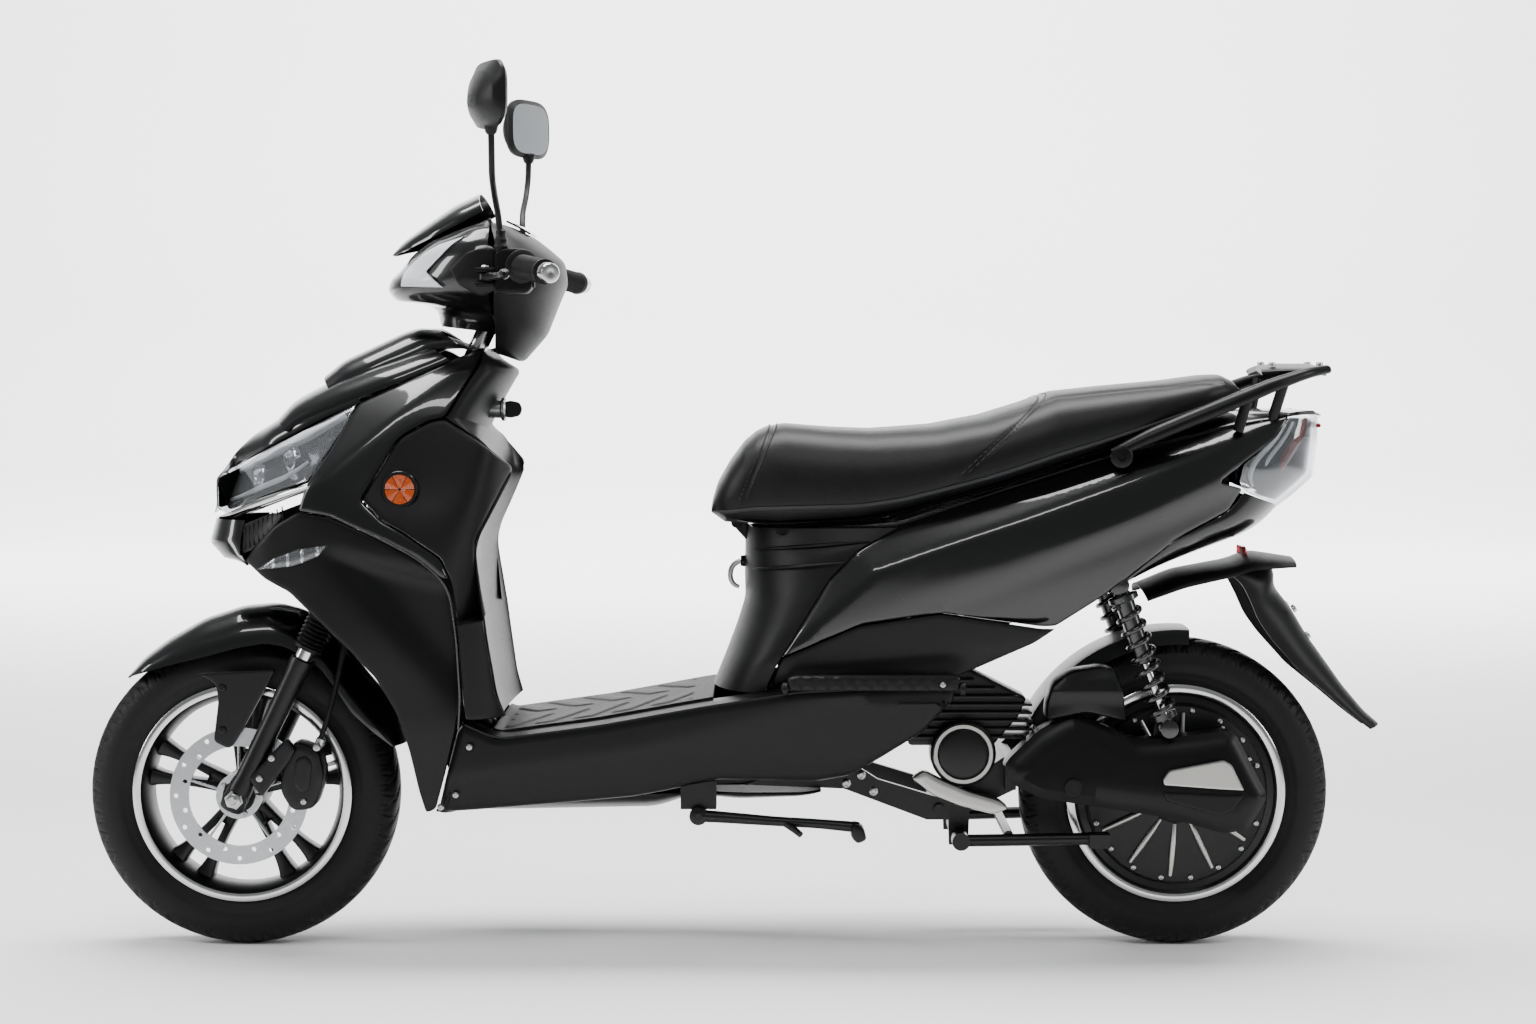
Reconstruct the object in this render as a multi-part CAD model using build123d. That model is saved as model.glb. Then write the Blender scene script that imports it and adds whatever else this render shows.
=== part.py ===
"""Electric moped scooter: frame, body shells, steering, wheels, stands and controls.

Millimetres. The scooter faces -X, +Z is up and the tyres stand on Z = 0. Its left side is at -Y.
The origin is below the middle of the overall length.
"""

import math
import os

from build123d import *

# Driving dimensions
HALF_LENGTH = 962.0
TYRE_RADIUS = 230.0
TYRE_HALF_WIDTH = 46.0
RIM_RADIUS = 152.0
FRONT_AXLE_X = TYRE_RADIUS - HALF_LENGTH
REAR_AXLE_X = 654.0
RAKE_DEG = 26.0
STEERING_OFFSET = 25.0
FORK_LEG_Y = 88.0
STANCHION_RADIUS = 13.0
FORK_FIT = 0.05
WALL = 3.5
FLOOR_HALF_WIDTH = 150.0
SHOCK_Y = 126.0
SHOCK_TOP = (556.0, 548.0)
SHOCK_BOTTOM = (630.0, 331.0)
SWING_PIVOT = (300.0, 214.0)
SIDE_STAND_PIVOT = (-52.0, 214.0)
CENTRE_STAND_PIVOT = (330.0, 172.0)
BAR_RADIUS = 11.0
MIRROR_BASE = (-329.0, 181.0, 1030.5)
FOOTREST_HINGE = (162.0, 392.0)
HOOK_PIVOT = (6.0, 572.0)

RAKE = math.radians(RAKE_DEG)
UP_FORK = Vector(math.sin(RAKE), 0, math.cos(RAKE))
ACROSS_FORK = Vector(math.cos(RAKE), 0, -math.sin(RAKE))
FRONT_AXLE = Vector(FRONT_AXLE_X, 0, TYRE_RADIUS)
REAR_AXLE = Vector(REAR_AXLE_X, 0, TYRE_RADIUS)
STEERING_LOW = FRONT_AXLE + ACROSS_FORK * STEERING_OFFSET


def on_leg(height, side=0.0):
    """A point on the fork leg's line, measured up the fork from the axle."""
    return FRONT_AXLE + UP_FORK * height + Vector(0, side, 0)


def on_stem(height):
    """A point on the steering axis, measured up the fork from the axle's level."""
    return STEERING_LOW + UP_FORK * height


# Building blocks
def side_face(points, y=0.0):
    """A flat face from side-view (x, z) points at one y."""
    return make_face(Polyline([(x, y, z) for x, z in points], close=True))


def slab(points, y_low, y_high):
    """A side-view outline made solid from y_low to y_high."""
    return extrude(side_face(points, y_low), amount=y_high - y_low, dir=(0, 1, 0))


def both(solid):
    """The solid with its mirror image across the middle plane."""
    return Compound(children=[*solid.solids(), *mirror(solid, about=Plane.XZ).solids()])


def shrink(points, inset):
    """The side-view outline moved inwards."""
    flat = make_face(Polyline([(x, z) for x, z in points], close=True))
    inner = offset(flat, amount=-inset, kind=Kind.INTERSECTION)
    wire = max(inner.faces(), key=lambda face: face.area).outer_wire()
    return [(corner.X, corner.Y) for corner in wire_corners(wire)]


def wire_corners(wire):
    """The corners of a wire, in order."""
    return [edge @ 0 for edge in wire.order_edges()]


def section_slab(points, x_low, x_high):
    """A front-view outline of (y, z) points made solid from x_low to x_high."""
    face = make_face(Polyline([(x_low, y, z) for y, z in points], close=True))
    return extrude(face, amount=x_high - x_low, dir=(1, 0, 0))


def plan_slab(points, z_low, z_high):
    """A plan-view outline of (x, y) points made solid from z_low to z_high."""
    face = make_face(Polyline([(x, y, z_low) for x, y in points], close=True))
    return extrude(face, amount=z_high - z_low, dir=(0, 0, 1))


def body_form(side, widths_by_z, widths_by_x, inset=0.0):
    """A body shape from its side, front and plan outlines, moved inwards by inset."""
    outline = shrink(side, inset) if inset else side
    core = slab(outline, -400, 400)
    front = [(w - inset, z) for w, z in widths_by_z]
    front += [(inset - w, z) for w, z in reversed(widths_by_z)]
    plan = [(x, w - inset) for x, w in widths_by_x]
    plan += [(x, inset - w) for x, w in reversed(widths_by_x)]
    return core & section_slab(front, -1200, 1200) & plan_slab(plan, -100, 1400)


def rod(start, end, radius, bore=0.0):
    """A round bar between two points, hollow when bore is given."""
    start, end = Vector(*start), Vector(*end)
    plane = Plane(origin=start, z_dir=end - start)
    profile = Circle(radius) - Circle(bore) if bore else Circle(radius)
    return extrude(plane * profile, amount=(end - start).length)


def pin(x, z, y_low, y_high, radius, bore=0.0):
    """A round bar lying across the scooter."""
    return rod((x, y_low, z), (x, y_high, z), radius, bore)


def block(x0, x1, y0, y1, z0, z1):
    """A box between two corners."""
    centre = ((x0 + x1) / 2, (y0 + y1) / 2, (z0 + z1) / 2)
    return Pos(*centre) * Box(x1 - x0, y1 - y0, z1 - z0)


def bent_tube(points, radius, bend):
    """A tube along a route of straight runs joined by arcs."""
    route = FilletPolyline(*[Vector(*point) for point in points], radius=bend)
    start = Plane(origin=route @ 0, z_dir=route % 0)
    return sweep(start * Circle(radius), path=route)


def turned(points, axle):
    """A (y, radius) profile turned about an axle that lies across the scooter."""
    wire = Polyline([(axle.X, y, axle.Z + r) for y, r in points], close=True)
    return revolve(make_face(wire), Axis((axle.X, 0, axle.Z), (0, 1, 0)))


def joined(*solids):
    """The solids fused into one."""
    first, *others = solids
    for other in others:
        first = first + other
    return first


def group(*shapes):
    """Separate solids kept together in one node."""
    return Compound(children=[solid for shape in shapes for solid in shape.solids()])


def save(name, shape):
    """Writes one node."""
    export_step(shape, f"parts/{name}.step")


# Outlines of the body, as side-view (x, z) points
NOSE_SIDE = [
    (-781, 603), (-777, 617), (-762, 656), (-752, 668), (-762, 706), (-743, 736),
    (-718, 760), (-667, 792), (-602, 842), (-583, 855), (-528, 894), (-478, 918),
    (-437, 916), (-316, 857), (-324, 838), (-360, 752), (-326, 719), (-324, 700),
    (-370, 616), (-371, 584), (-343, 392), (-332, 348), (-386, 350), (-398, 344),
    (-431, 225), (-446, 219), (-454, 251), (-467, 317), (-483, 368), (-512, 419),
    (-545, 455), (-614, 519), (-637, 540), (-675, 558), (-706, 573), (-757, 578),
]  # fmt: skip
NOSE_BY_Z = [
    (152, 205), (168, 285), (182, 345), (186, 400), (195, 475), (201, 545), (201, 590),
    (195, 640), (176, 700), (158, 770), (146, 810), (118, 860), (84, 893), (60, 925),
]  # fmt: skip
NOSE_BY_X = [
    (-785, 28), (-762, 62), (-715, 122), (-680, 150), (-610, 176), (-520, 198),
    (-440, 205), (-360, 180), (-310, 120),
]  # fmt: skip
LAMP_SIDE = [
    (-764, 700), (-752, 724), (-628, 776), (-540, 818), (-556, 780), (-597, 715),
    (-611, 698), (-681, 688), (-745, 672),
]  # fmt: skip
BLADE_SIDE = [
    (-800, 704), (-764, 704), (-628, 778), (-543, 819), (-433, 886), (-380, 889),
    (-440, 960), (-700, 900),
]  # fmt: skip
CHEEK_SIDE = [
    (-543, 819), (-433, 886), (-362, 893), (-370, 865), (-394, 822), (-411, 791), (-360, 752),
    (-324, 721), (-324, 714), (-372, 616), (-374, 584), (-398, 553), (-424, 580), (-475, 609),
    (-532, 633), (-598, 657), (-622, 657), (-600, 700), (-556, 780),
]  # fmt: skip
CHIN_SIDE = [
    (-800, 540), (-800, 700), (-764, 700), (-745, 672), (-681, 688), (-611, 698), (-622, 657),
    (-663, 634), (-702, 602), (-716, 575), (-740, 540),
]  # fmt: skip
COWL_SIDE = [
    (-716, 575), (-702, 602), (-663, 634), (-622, 657), (-598, 657), (-532, 633), (-475, 609),
    (-424, 580), (-403, 547), (-393, 475), (-391, 388), (-400, 344), (-425, 200), (-500, 200),
    (-900, 500),
]  # fmt: skip
TAIL_SIDE = [
    (14, 625), (15, 521), (4, 485), (-12, 442), (-33, 389), (48, 391), (80, 406),
    (166, 408), (324, 414), (432, 469), (539, 530), (627, 566),
    (756, 613), (784, 630), (805, 655), (858, 697), (862, 755), (867, 787), (853, 799),
    (737, 799), (717, 791), (622, 762), (384, 683), (240, 642), (182, 632), (66, 625),
]  # fmt: skip
TAIL_BY_Z = [
    (150, 380), (158, 443), (166, 490), (173, 560), (168, 620), (152, 680), (134, 735),
    (112, 770), (86, 802),
]  # fmt: skip
TAIL_BY_X = [
    (-40, 96), (20, 116), (66, 150), (150, 164), (300, 173), (450, 172), (600, 156),
    (700, 132), (800, 96), (870, 58),
]  # fmt: skip
PANEL_SIDE = [
    (66, 443), (94, 489), (137, 558), (180, 601), (237, 630), (384, 683), (541, 736),
    (660, 771), (808, 792), (787, 759), (700, 697), (738, 687), (717, 655), (638, 615),
    (539, 536), (464, 488), (442, 488), (295, 510), (180, 493),
]  # fmt: skip
TRIM_SIDE = [
    (66, 443), (180, 493), (295, 510), (442, 488), (464, 488), (432, 440), (324, 400),
    (60, 400),
]  # fmt: skip
LAMP_REAR_SIDE = [
    (808, 790), (830, 803), (880, 803), (880, 690), (800, 640), (717, 655), (738, 687),
    (700, 697), (787, 759),
]  # fmt: skip
SKIRT_SIDE = [
    (-386, 352), (-341, 330), (-193, 350), (-49, 376), (94, 398), (231, 402), (320, 404),
    (316, 382), (274, 335), (209, 295), (168, 270), (118, 261), (-21, 266), (-115, 246),
    (-150, 240), (-431, 216), (-397, 344),
]  # fmt: skip
BELLY_SIDE = [
    (-431, 214), (-150, 238), (-60, 240), (110, 240), (128, 236), (105, 227),
    (8, 219), (-22, 233), (-100, 236), (-116, 205), (-342, 200), (-438, 206),
]  # fmt: skip
SKIRT_BY_Z = [(140, 195), (163, 240), (170, 300), (172, 352), (166, 410)]
SKIRT_BY_X = [(-440, 152), (-380, 165), (-250, 170), (200, 170), (330, 160)]
COVER_SIDE = [
    (-514, 973), (-510, 989), (-492, 1006), (-478, 1024), (-452, 1045), (-407, 1063),
    (-363, 1077), (-328, 1068), (-294, 1051), (-270, 1032), (-252, 1016), (-248, 983),
    (-258, 960), (-278, 909), (-314, 866), (-434, 924), (-440, 944), (-460, 954), (-501, 958),
]  # fmt: skip
COVER_BY_Z = [
    (58, 855), (66, 900), (106, 935), (156, 965), (168, 985), (168, 1030), (146, 1058),
    (104, 1080),
]  # fmt: skip
COVER_BY_X = [
    (-520, 52), (-490, 92), (-450, 126), (-400, 152), (-350, 168), (-290, 168), (-245, 150),
]  # fmt: skip
FENDER_SIDE = [
    (-904, 403), (-881, 430), (-843, 459), (-791, 488), (-732, 507), (-681, 510), (-640, 503),
    (-590, 462), (-571, 414), (-530, 380), (-500, 337), (-490, 302), (-508, 300), (-552, 322),
    (-589, 349), (-676, 441), (-796, 407), (-875, 404),
]  # fmt: skip
SEAT_SIDE = [
    (-34, 664), (-26, 691), (-8, 723), (14, 753), (32, 768), (51, 777), (74, 780), (141, 776),
    (200, 774), (290, 779), (364, 792), (423, 810), (468, 826), (542, 834), (631, 842),
    (690, 850), (713, 851), (730, 843), (743, 827), (720, 812), (541, 750), (384, 698),
    (240, 657), (182, 647), (60, 640), (-14, 640), (-28, 646),
]  # fmt: skip
SEAT_BY_Z = [(136, 610), (146, 700), (142, 770), (120, 820), (86, 852)]
SEAT_BY_X = [
    (-36, 62), (-10, 92), (60, 118), (160, 138), (300, 146), (450, 144), (600, 132), (690, 112),
    (744, 70),
]  # fmt: skip


# Front body
def cut_both(outline, y_low):
    """The two side zones of an outline, from y_low outwards."""
    side = slab(outline, -400, -y_low)
    return side + mirror(side, about=Plane.XZ)


def biggest(shape, count):
    """The largest solids of a shape, with cutting crumbs left out."""
    solids = sorted(shape.solids(), key=lambda solid: -solid.volume)[:count]
    return solids[0] if count == 1 else Compound(children=solids)


def steering_room():
    """The space that the front wheel, fork and stem turn in."""
    well = pin(FRONT_AXLE_X, TYRE_RADIUS, -92, 92, 330)
    fork = rod(on_stem(120), on_stem(500), 134)
    tube = rod((-390, 0, 440), (-366, 0, 318), 24)
    return joined(well, fork, tube, rod(on_stem(480), on_stem(790), 36))


def front_skin(depth):
    """The skin of the front body, depth thick."""
    outer = body_form(NOSE_SIDE, NOSE_BY_Z, NOSE_BY_X)
    return outer - body_form(NOSE_SIDE, NOSE_BY_Z, NOSE_BY_X, depth)


def front_body():
    """Every piece of the front body, cut from one skin along its seams."""
    shell = front_skin(WALL)
    lamp_zone = slab(LAMP_SIDE, -400, 400)
    blade_zone = slab(BLADE_SIDE, -400, 400) - lamp_zone
    cheek_zone = cut_both(CHEEK_SIDE, 70) - lamp_zone - blade_zone
    chin_zone = slab(CHIN_SIDE, -400, 400) - cheek_zone - lamp_zone
    cowl_zone = cut_both(COWL_SIDE, 100) - chin_zone - cheek_zone
    shell = shell - steering_room()
    lights = indicators()
    save("headlight_lens", biggest(shell & lamp_zone, 1))
    save("headlight_housing", headlight_housing())
    save("nose_cover", group(biggest(shell & blade_zone, 1), biggest(shell & chin_zone, 1)))
    save("front_fairings", biggest(shell & cheek_zone, 2))
    save("front_indicators", lights)
    save("front_cowls", biggest((shell & cowl_zone) - lights, 2))
    rear = shell - lamp_zone - blade_zone - chin_zone - cheek_zone - cowl_zone
    rear = rear & block(-480, -200, -300, 300, 200, 960)
    save("leg_shield", biggest(rear - rod((-440, -48, 800), (-300, -48, 800), 15), 1))


def headlight_housing():
    """The bright bowl behind the headlight lens."""
    bowl = body_form(LAMP_SIDE, NOSE_BY_Z, NOSE_BY_X, WALL + 1.5)
    hollow = Pos(-14, 0, 6) * body_form(LAMP_SIDE, NOSE_BY_Z, NOSE_BY_X, WALL + 4.5)
    return biggest(bowl - hollow - steering_room(), 1)


def indicators():
    """The two front turn signals, let into the cowls."""
    outline = [(-672, 572), (-655, 590), (-612, 604), (-572, 607), (-592, 590), (-630, 576)]
    return both(biggest(front_skin(12) & slab(outline, -400, -90), 1))


def reflectors():
    """Round amber reflectors on the fairings and a red one at the back."""
    outer = body_form(NOSE_SIDE, NOSE_BY_Z, NOSE_BY_X)
    amber = both(biggest(rod((-475, -150, 690), (-475, -190, 690), 26) - outer, 1))
    red = block(752, 758, -25, 25, 566, 596)
    save("reflectors", group(amber, red))


# Floor and skirts
def floor_parts():
    """The floorboard, the side skirts and the belly pan."""
    line = [(-338, 330), (-193, 349), (-49, 375), (-36, 386)]
    under = [(x, z - 9) for x, z in reversed(line)]
    plate = slab(line + under, -FLOOR_HALF_WIDTH + 14, FLOOR_HALF_WIDTH - 14)
    ribs = [block(-320, -60, y - 3, y + 3, 310, 330) for y in (-100, -50, 50, 100)]
    rib_trim = slab([(-338, 200), (-338, 330)] + line[1:] + [(-36, 200)], -200, 200)
    board = joined(plate, *[rib & rib_trim for rib in ribs])
    front = body_form(NOSE_SIDE, NOSE_BY_Z, NOSE_BY_X)
    save("floorboard", biggest(board - front, 1))
    outer = body_form(SKIRT_SIDE, SKIRT_BY_Z, SKIRT_BY_X)
    inner = block(-600, 500, -FLOOR_HALF_WIDTH + 12, FLOOR_HALF_WIDTH - 12, 100, 500)
    skin = body_form(SKIRT_SIDE, SKIRT_BY_Z, SKIRT_BY_X, WALL)
    tail = body_form(TAIL_SIDE, TAIL_BY_Z, TAIL_BY_X)
    skirts = biggest(outer - skin - inner - front - tail, 2)
    belly = slab(BELLY_SIDE, -106, 106) - Pos(0, 0, 5) * slab(BELLY_SIDE, -102, 102)
    belly = belly - block(-84, -20, -140, -88, 215, 260)
    save("floor_skirts", group(skirts, biggest(belly - front, 1)))


# Tail
def tail_body():
    """Every piece of the seat body, cut from one skin along its seams."""
    outer = body_form(TAIL_SIDE, TAIL_BY_Z, TAIL_BY_X)
    shell = outer - body_form(TAIL_SIDE, TAIL_BY_Z, TAIL_BY_X, WALL)
    shell = shell - block(56, 640, -98, 98, 500, 900)
    shell = shell - block(-10, 52, -36, 36, 596, 660)
    shell = shell - pin(REAR_AXLE_X, TYRE_RADIUS + 20, -70, 70, 272)
    shell = shell - block(56, 700, -112, 112, 380, 560) - block(14, 60, -30, 30, 380, 402)
    lamp_zone = slab(LAMP_REAR_SIDE, -400, 400)
    panel_zone = cut_both(PANEL_SIDE, 99) - lamp_zone
    trim_zone = cut_both(TRIM_SIDE, 60) - panel_zone
    save("tail_light", biggest(shell & lamp_zone, 1))
    save("tail_panels", biggest(shell & panel_zone, 2))
    trims = biggest(shell & trim_zone, 2)
    rest = shell - lamp_zone - panel_zone - trim_zone
    front = biggest(rest & block(-60, 238, -300, 300, 300, 700), 1)
    lugs = both(footrest_lugs(outer))
    x, z = HOOK_PIVOT
    ears = both(block(x - 5, 22, -13, -9, z - 5, z + 5)) - pin(x, z, -20, 20, 2.55)
    front = joined(front, *(ears - (outer - shell)).solids())
    save("seat_body_trims", group(front, trims, lugs))
    rear = (rest & block(560, 900, -300, 300, 500, 900)) - block(500, 630, -150, 150, 400, 640)
    save("tail_cover", biggest(rear, 1))


def footrest_lugs(outer):
    """The two lugs that one passenger footrest turns in."""
    x, z = FOOTREST_HINGE
    lug = block(x - 92, x - 86, -190, -150, z + 4, z + 20)
    lug = lug + block(x + 162, x + 168, -190, -150, z + 4, z + 20)
    bore = rod((x - 100, -184, z + 12), (x + 180, -184, z + 12), 3.05)
    return (lug - outer) - bore


def rear_mudguard():
    """The guard and number-plate holder behind the rear wheel."""
    outline = [
        (596, 537), (650, 560), (738, 577), (763, 589), (813, 584), (827, 577), (830, 568),
        (803, 562), (803, 536), (828, 504), (853, 462), (875, 429), (907, 387), (940, 348),
        (HALF_LENGTH, 331), (HALF_LENGTH, 320), (935, 332), (895, 363), (833, 413),
        (790, 462), (758, 500), (730, 525), (702, 531),
    ]  # fmt: skip
    widths = [(36, 318), (58, 430), (76, 520), (84, 592)]
    plan = [(596, 84), (830, 84), (HALF_LENGTH, 36)]
    solid = body_form(outline, widths, plan)
    hollow = Pos(-4, 0, -7) * body_form(outline, widths, plan, WALL)
    wheel = pin(REAR_AXLE_X, TYRE_RADIUS + 30, -60, 60, TYRE_RADIUS + 8)
    tail = body_form(TAIL_SIDE, TAIL_BY_Z, TAIL_BY_X)
    red = block(751, 759, -26, 26, 565, 597)
    save("plate_holder", biggest(solid - hollow - wheel - tail - red, 1))


def grab_rail():
    """The passenger's rail with its flat luggage plate."""
    outline = [
        (537, 731), (543, 744), (557, 761), (598, 776), (669, 804), (726, 826), (770, 848),
        (812, 852), (812, 838), (712, 794), (641, 765),
    ]  # fmt: skip
    arms = both(slab(outline, -150, -126))
    cross = slab([(768, 846), (776, 858), (812, 862), (812, 848)], -149, 149)
    plate = block(774, 874, -70, 70, 856, 866)
    holes = [Pos(x, y, 861) * Cylinder(3.3, 20) for x in (789, 859) for y in (-45, 45)]
    tail = body_form(TAIL_SIDE, TAIL_BY_Z, TAIL_BY_X)
    seat = body_form(SEAT_SIDE, SEAT_BY_Z, SEAT_BY_X, -3)
    rail = joined(cross, *arms.solids(), plate) - tail - seat - Pos(0, 0, -16) * seat
    for hole in holes:
        rail = rail - hole
    save("grab_rail", biggest(rail, 1))


# Frame and what it carries
def main_frame():
    """The welded tube frame with its brackets."""
    head = rod(on_stem(504), on_stem(700), 30)
    down = bent_tube([on_stem(600), (-402, 0, 560), (-386, 0, 328), (-300, 0, 262)], 19, 90)
    spine = rod((-318, 0, 262), (-40, 0, 262), 19)
    rails = []
    for side in (-1, 1):
        route = [
            (-300, 92 * side, 262), (40, 92 * side, 262), (120, 92 * side, 420),
            (330, 92 * side, 560), (720, 70 * side, 700),
        ]  # fmt: skip
        rails.append(bent_tube(route, 11, 60))
    crossbars = [pin(-292, 263, -90, 90, 9), pin(-52, 261, -90, 90, 9), pin(330, 559, -88, 88, 8)]
    crossbars.append(pin(706, 695, -68, 68, 8))
    post = rod((38, 0, 262), (38, 0, 600), 9.5)
    foot = pin(30, 263, -90, 90, 8)
    arm = slab([(32, 588), (48, 588), (48, 606), (8, 638), (-4, 628)], -13, 13)
    knuckle = pin(2, 632, -13, 13, 7.5)
    eyes = []
    for side in (-1, 1):
        x, z = SHOCK_TOP
        eyes.append(pin(x, z, *sorted((84 * side, 111 * side)), 10))
        eyes.append(block(x - 12, x + 12, *sorted((76 * side, 104 * side)), z, 652))
    x, z = SWING_PIVOT
    plate_side = [
        (6, 250), (6, 272), (172, 282), (210, 258), (316, 226), (316, 198), (282, 198), (160, 244),
    ]  # fmt: skip
    plates = [slab(plate_side, *sorted((74 * side, 84 * side))) for side in (-1, 1)]
    links = pin(150, 262, -80, 80, 9)
    stand = block(-78, -26, -134, -92, 222, 262) + pin(*SIDE_STAND_PIVOT, -132, -110, 12)
    frame = joined(
        head, down, spine, *rails, *crossbars, post, foot, arm, knuckle, *eyes, *plates, links,
        stand,
    )  # fmt: skip
    bores = [rod(on_stem(490), on_stem(720), 22)]
    bores.append(pin(2, 632, -40, 40, 4.05))
    bores.append(pin(x, z, -100, 100, 8))
    bores.append(pin(*SIDE_STAND_PIVOT, -160, -100, 5))
    for bore in bores:
        frame = frame - bore
    save("main_frame", biggest(frame - front_wall(), 1))


def front_wall():
    """The front body's skin, which the frame stays clear of."""
    return front_skin(WALL) - steering_room()


def carried_parts():
    """Head bearings, battery and motor controller."""
    rings = [rod(on_stem(a), on_stem(a + 12), 22, 14.05) for a in (506, 686)]
    save("head_bearings", group(*rings))
    length, height = 178, 150
    save("battery_pack", block(58, 58 + length, -76, 76, 440, 440 + height))
    save("motor_controller", block(480, 610, -52, 52, 668, 704))


def lock_and_key():
    """Ignition lock, its key and the bag hook on its bracket."""
    wall_x = -344
    barrel = rod((-420, -48, 800), (wall_x + 4, -48, 800), 14.5, 0)
    slot = rod((-356, -48, 800), (wall_x + 6, -48, 800), 7)
    save("ignition_lock", barrel - slot)
    blade = rod((-354, -48, 800), (wall_x + 5, -48, 800), 6.9)
    bow = block(wall_x + 4, wall_x + 30, -50, -46, 788, 812)
    save("ignition_key", joined(blade, bow))
    x, z = HOOK_PIVOT
    arm = block(x - 12, x - 6, -8, 8, z - 42, z + 4)
    foot = block(x - 12, x + 4, -8, 8, z - 42, z - 36)
    head = block(x - 12, x + 4, -8, 8, z - 4, z + 4)
    save("bag_hook", joined(arm, foot, head, pin(x, z, -13, 13, 2.5)))


# Seat
def seat():
    """The cushion and the base that it is moulded on."""
    save("seat_cushion", body_form(SEAT_SIDE, SEAT_BY_Z, SEAT_BY_X))
    line = [(-14, 640), (60, 640), (182, 647), (240, 657), (384, 698), (541, 750), (720, 812)]
    under = [(x, z - 11) for x, z in reversed(line)]
    plate = slab(line + under, -140, 140) & body_form(
        [(-14, 600), (-14, 700), (714, 900), (714, 700), (200, 600)], SEAT_BY_Z,
        [(x, w - 8) for x, w in SEAT_BY_X],
    )  # fmt: skip
    plate = plate - block(-20, 50, -14, 14, 600, 639.5)
    knuckles = []
    for side in (-1, 1):
        low, high = sorted((14 * side, 30 * side))
        knuckles.append(pin(2, 632, low, high, 8))
    base = joined(plate, *knuckles) - pin(2, 632, -40, 40, 4)
    save("seat_base", group(biggest(base, 1), pin(2, 632, -30, 30, 4)))


# Steering
def grip_line(side):
    """The start and outward direction of one grip."""
    direction = Vector(54, 140 * side, -14).normalized()
    return Vector(-300, 200 * side, 1005), direction


def along_grip(side, distance):
    """A point on the grip's line."""
    start, direction = grip_line(side)
    return start + direction * distance


def steering():
    """Stem, crown, stanchions and handlebar."""
    crown = rod(on_stem(455), on_stem(485), 30)
    for side in (-1, 1):
        crown = crown + rod(on_leg(455, 88 * side), on_leg(485, 88 * side), 19)
        crown = crown + rod(on_leg(120, FORK_LEG_Y * side), on_leg(480, FORK_LEG_Y * side), 13)
    bridge = Plane(origin=on_stem(457) - ACROSS_FORK * 14, x_dir=Vector(0, 1, 0), z_dir=UP_FORK)
    crown = crown + extrude(bridge * Rectangle(176, 40), amount=26)
    stem = rod(on_stem(470), on_stem(850), 14)
    save("steering_stem", joined(crown, stem))
    ends = [along_grip(side, 128) for side in (-1, 1)]
    inner = [along_grip(side, -44) for side in (-1, 1)]
    bar = bent_tube([ends[0], inner[0], inner[1], ends[1]], BAR_RADIUS, 60)
    clamp = rod(on_stem(800), on_stem(874), 19) - rod(on_stem(790), on_stem(850), 14)
    weights = [rod(along_grip(side, 128), along_grip(side, 150), 14) for side in (-1, 1)]
    save("handlebar", group(joined(bar, clamp), *weights))


def grips():
    """The fixed left grip and the right throttle grip."""
    for name, side, bore in (("grip_left", -1, BAR_RADIUS), ("throttle_grip", 1, BAR_RADIUS + 0.05)):
        sleeve = rod(along_grip(side, 6), along_grip(side, 126), 17, bore)
        flange = rod(along_grip(side, 6), along_grip(side, 12), 24, bore)
        save(name, joined(sleeve, flange))


def bar_hole():
    """Room for the handlebar through its covers."""
    holes = [rod(along_grip(side, -120), along_grip(side, 20), 15) for side in (-1, 1)]
    return joined(*holes, rod(on_stem(700), on_stem(900), 26))


def handlebar_covers():
    """Front and rear covers, position lamps, screen and display."""
    outer = body_form(COVER_SIDE, COVER_BY_Z, COVER_BY_X)
    skin = outer - body_form(COVER_SIDE, COVER_BY_Z, COVER_BY_X, 3)
    chevron = [
        (-482, 976), (-477, 999), (-464, 1014), (-445, 1028), (-423, 1039), (-380, 1051),
        (-402, 1037), (-435, 1005), (-414, 975),
    ]  # fmt: skip
    lamp = (outer - body_form(COVER_SIDE, COVER_BY_Z, COVER_BY_X, 9)) & slab(chevron, -300, -60)
    lamps = both(biggest(lamp, 1))
    front_zone = slab([(-600, 1200), (-352, 1200), (-342, 1000), (-352, 800), (-600, 800)], -300, 300)
    skin = skin - bar_hole()
    save("handlebar_front_cover", biggest((skin & front_zone) - lamps, 1))
    save("position_lamps", lamps)
    display = slab([(-332, 1071.5), (-298, 1055), (-295, 1060), (-329, 1077)], -55, 55)
    save("handlebar_rear_cover", group(biggest(skin - front_zone, 1), display - outer))
    side = [
        (-508, 1026), (-490, 1046), (-450, 1075), (-413, 1100), (-375, 1118), (-362, 1096),
        (-362, 1079), (-407, 1066), (-452, 1049),
    ]  # fmt: skip
    by_z = [(40, 1020), (84, 1050), (96, 1085), (66, 1120)]
    by_x = [(-510, 20), (-470, 62), (-420, 90), (-355, 96)]
    screen = body_form(side, by_z, by_x) - Pos(8, 0, -9) * body_form(side, by_z, by_x, 1.5)
    save("fly_screen", biggest(screen - outer, 1))


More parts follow.
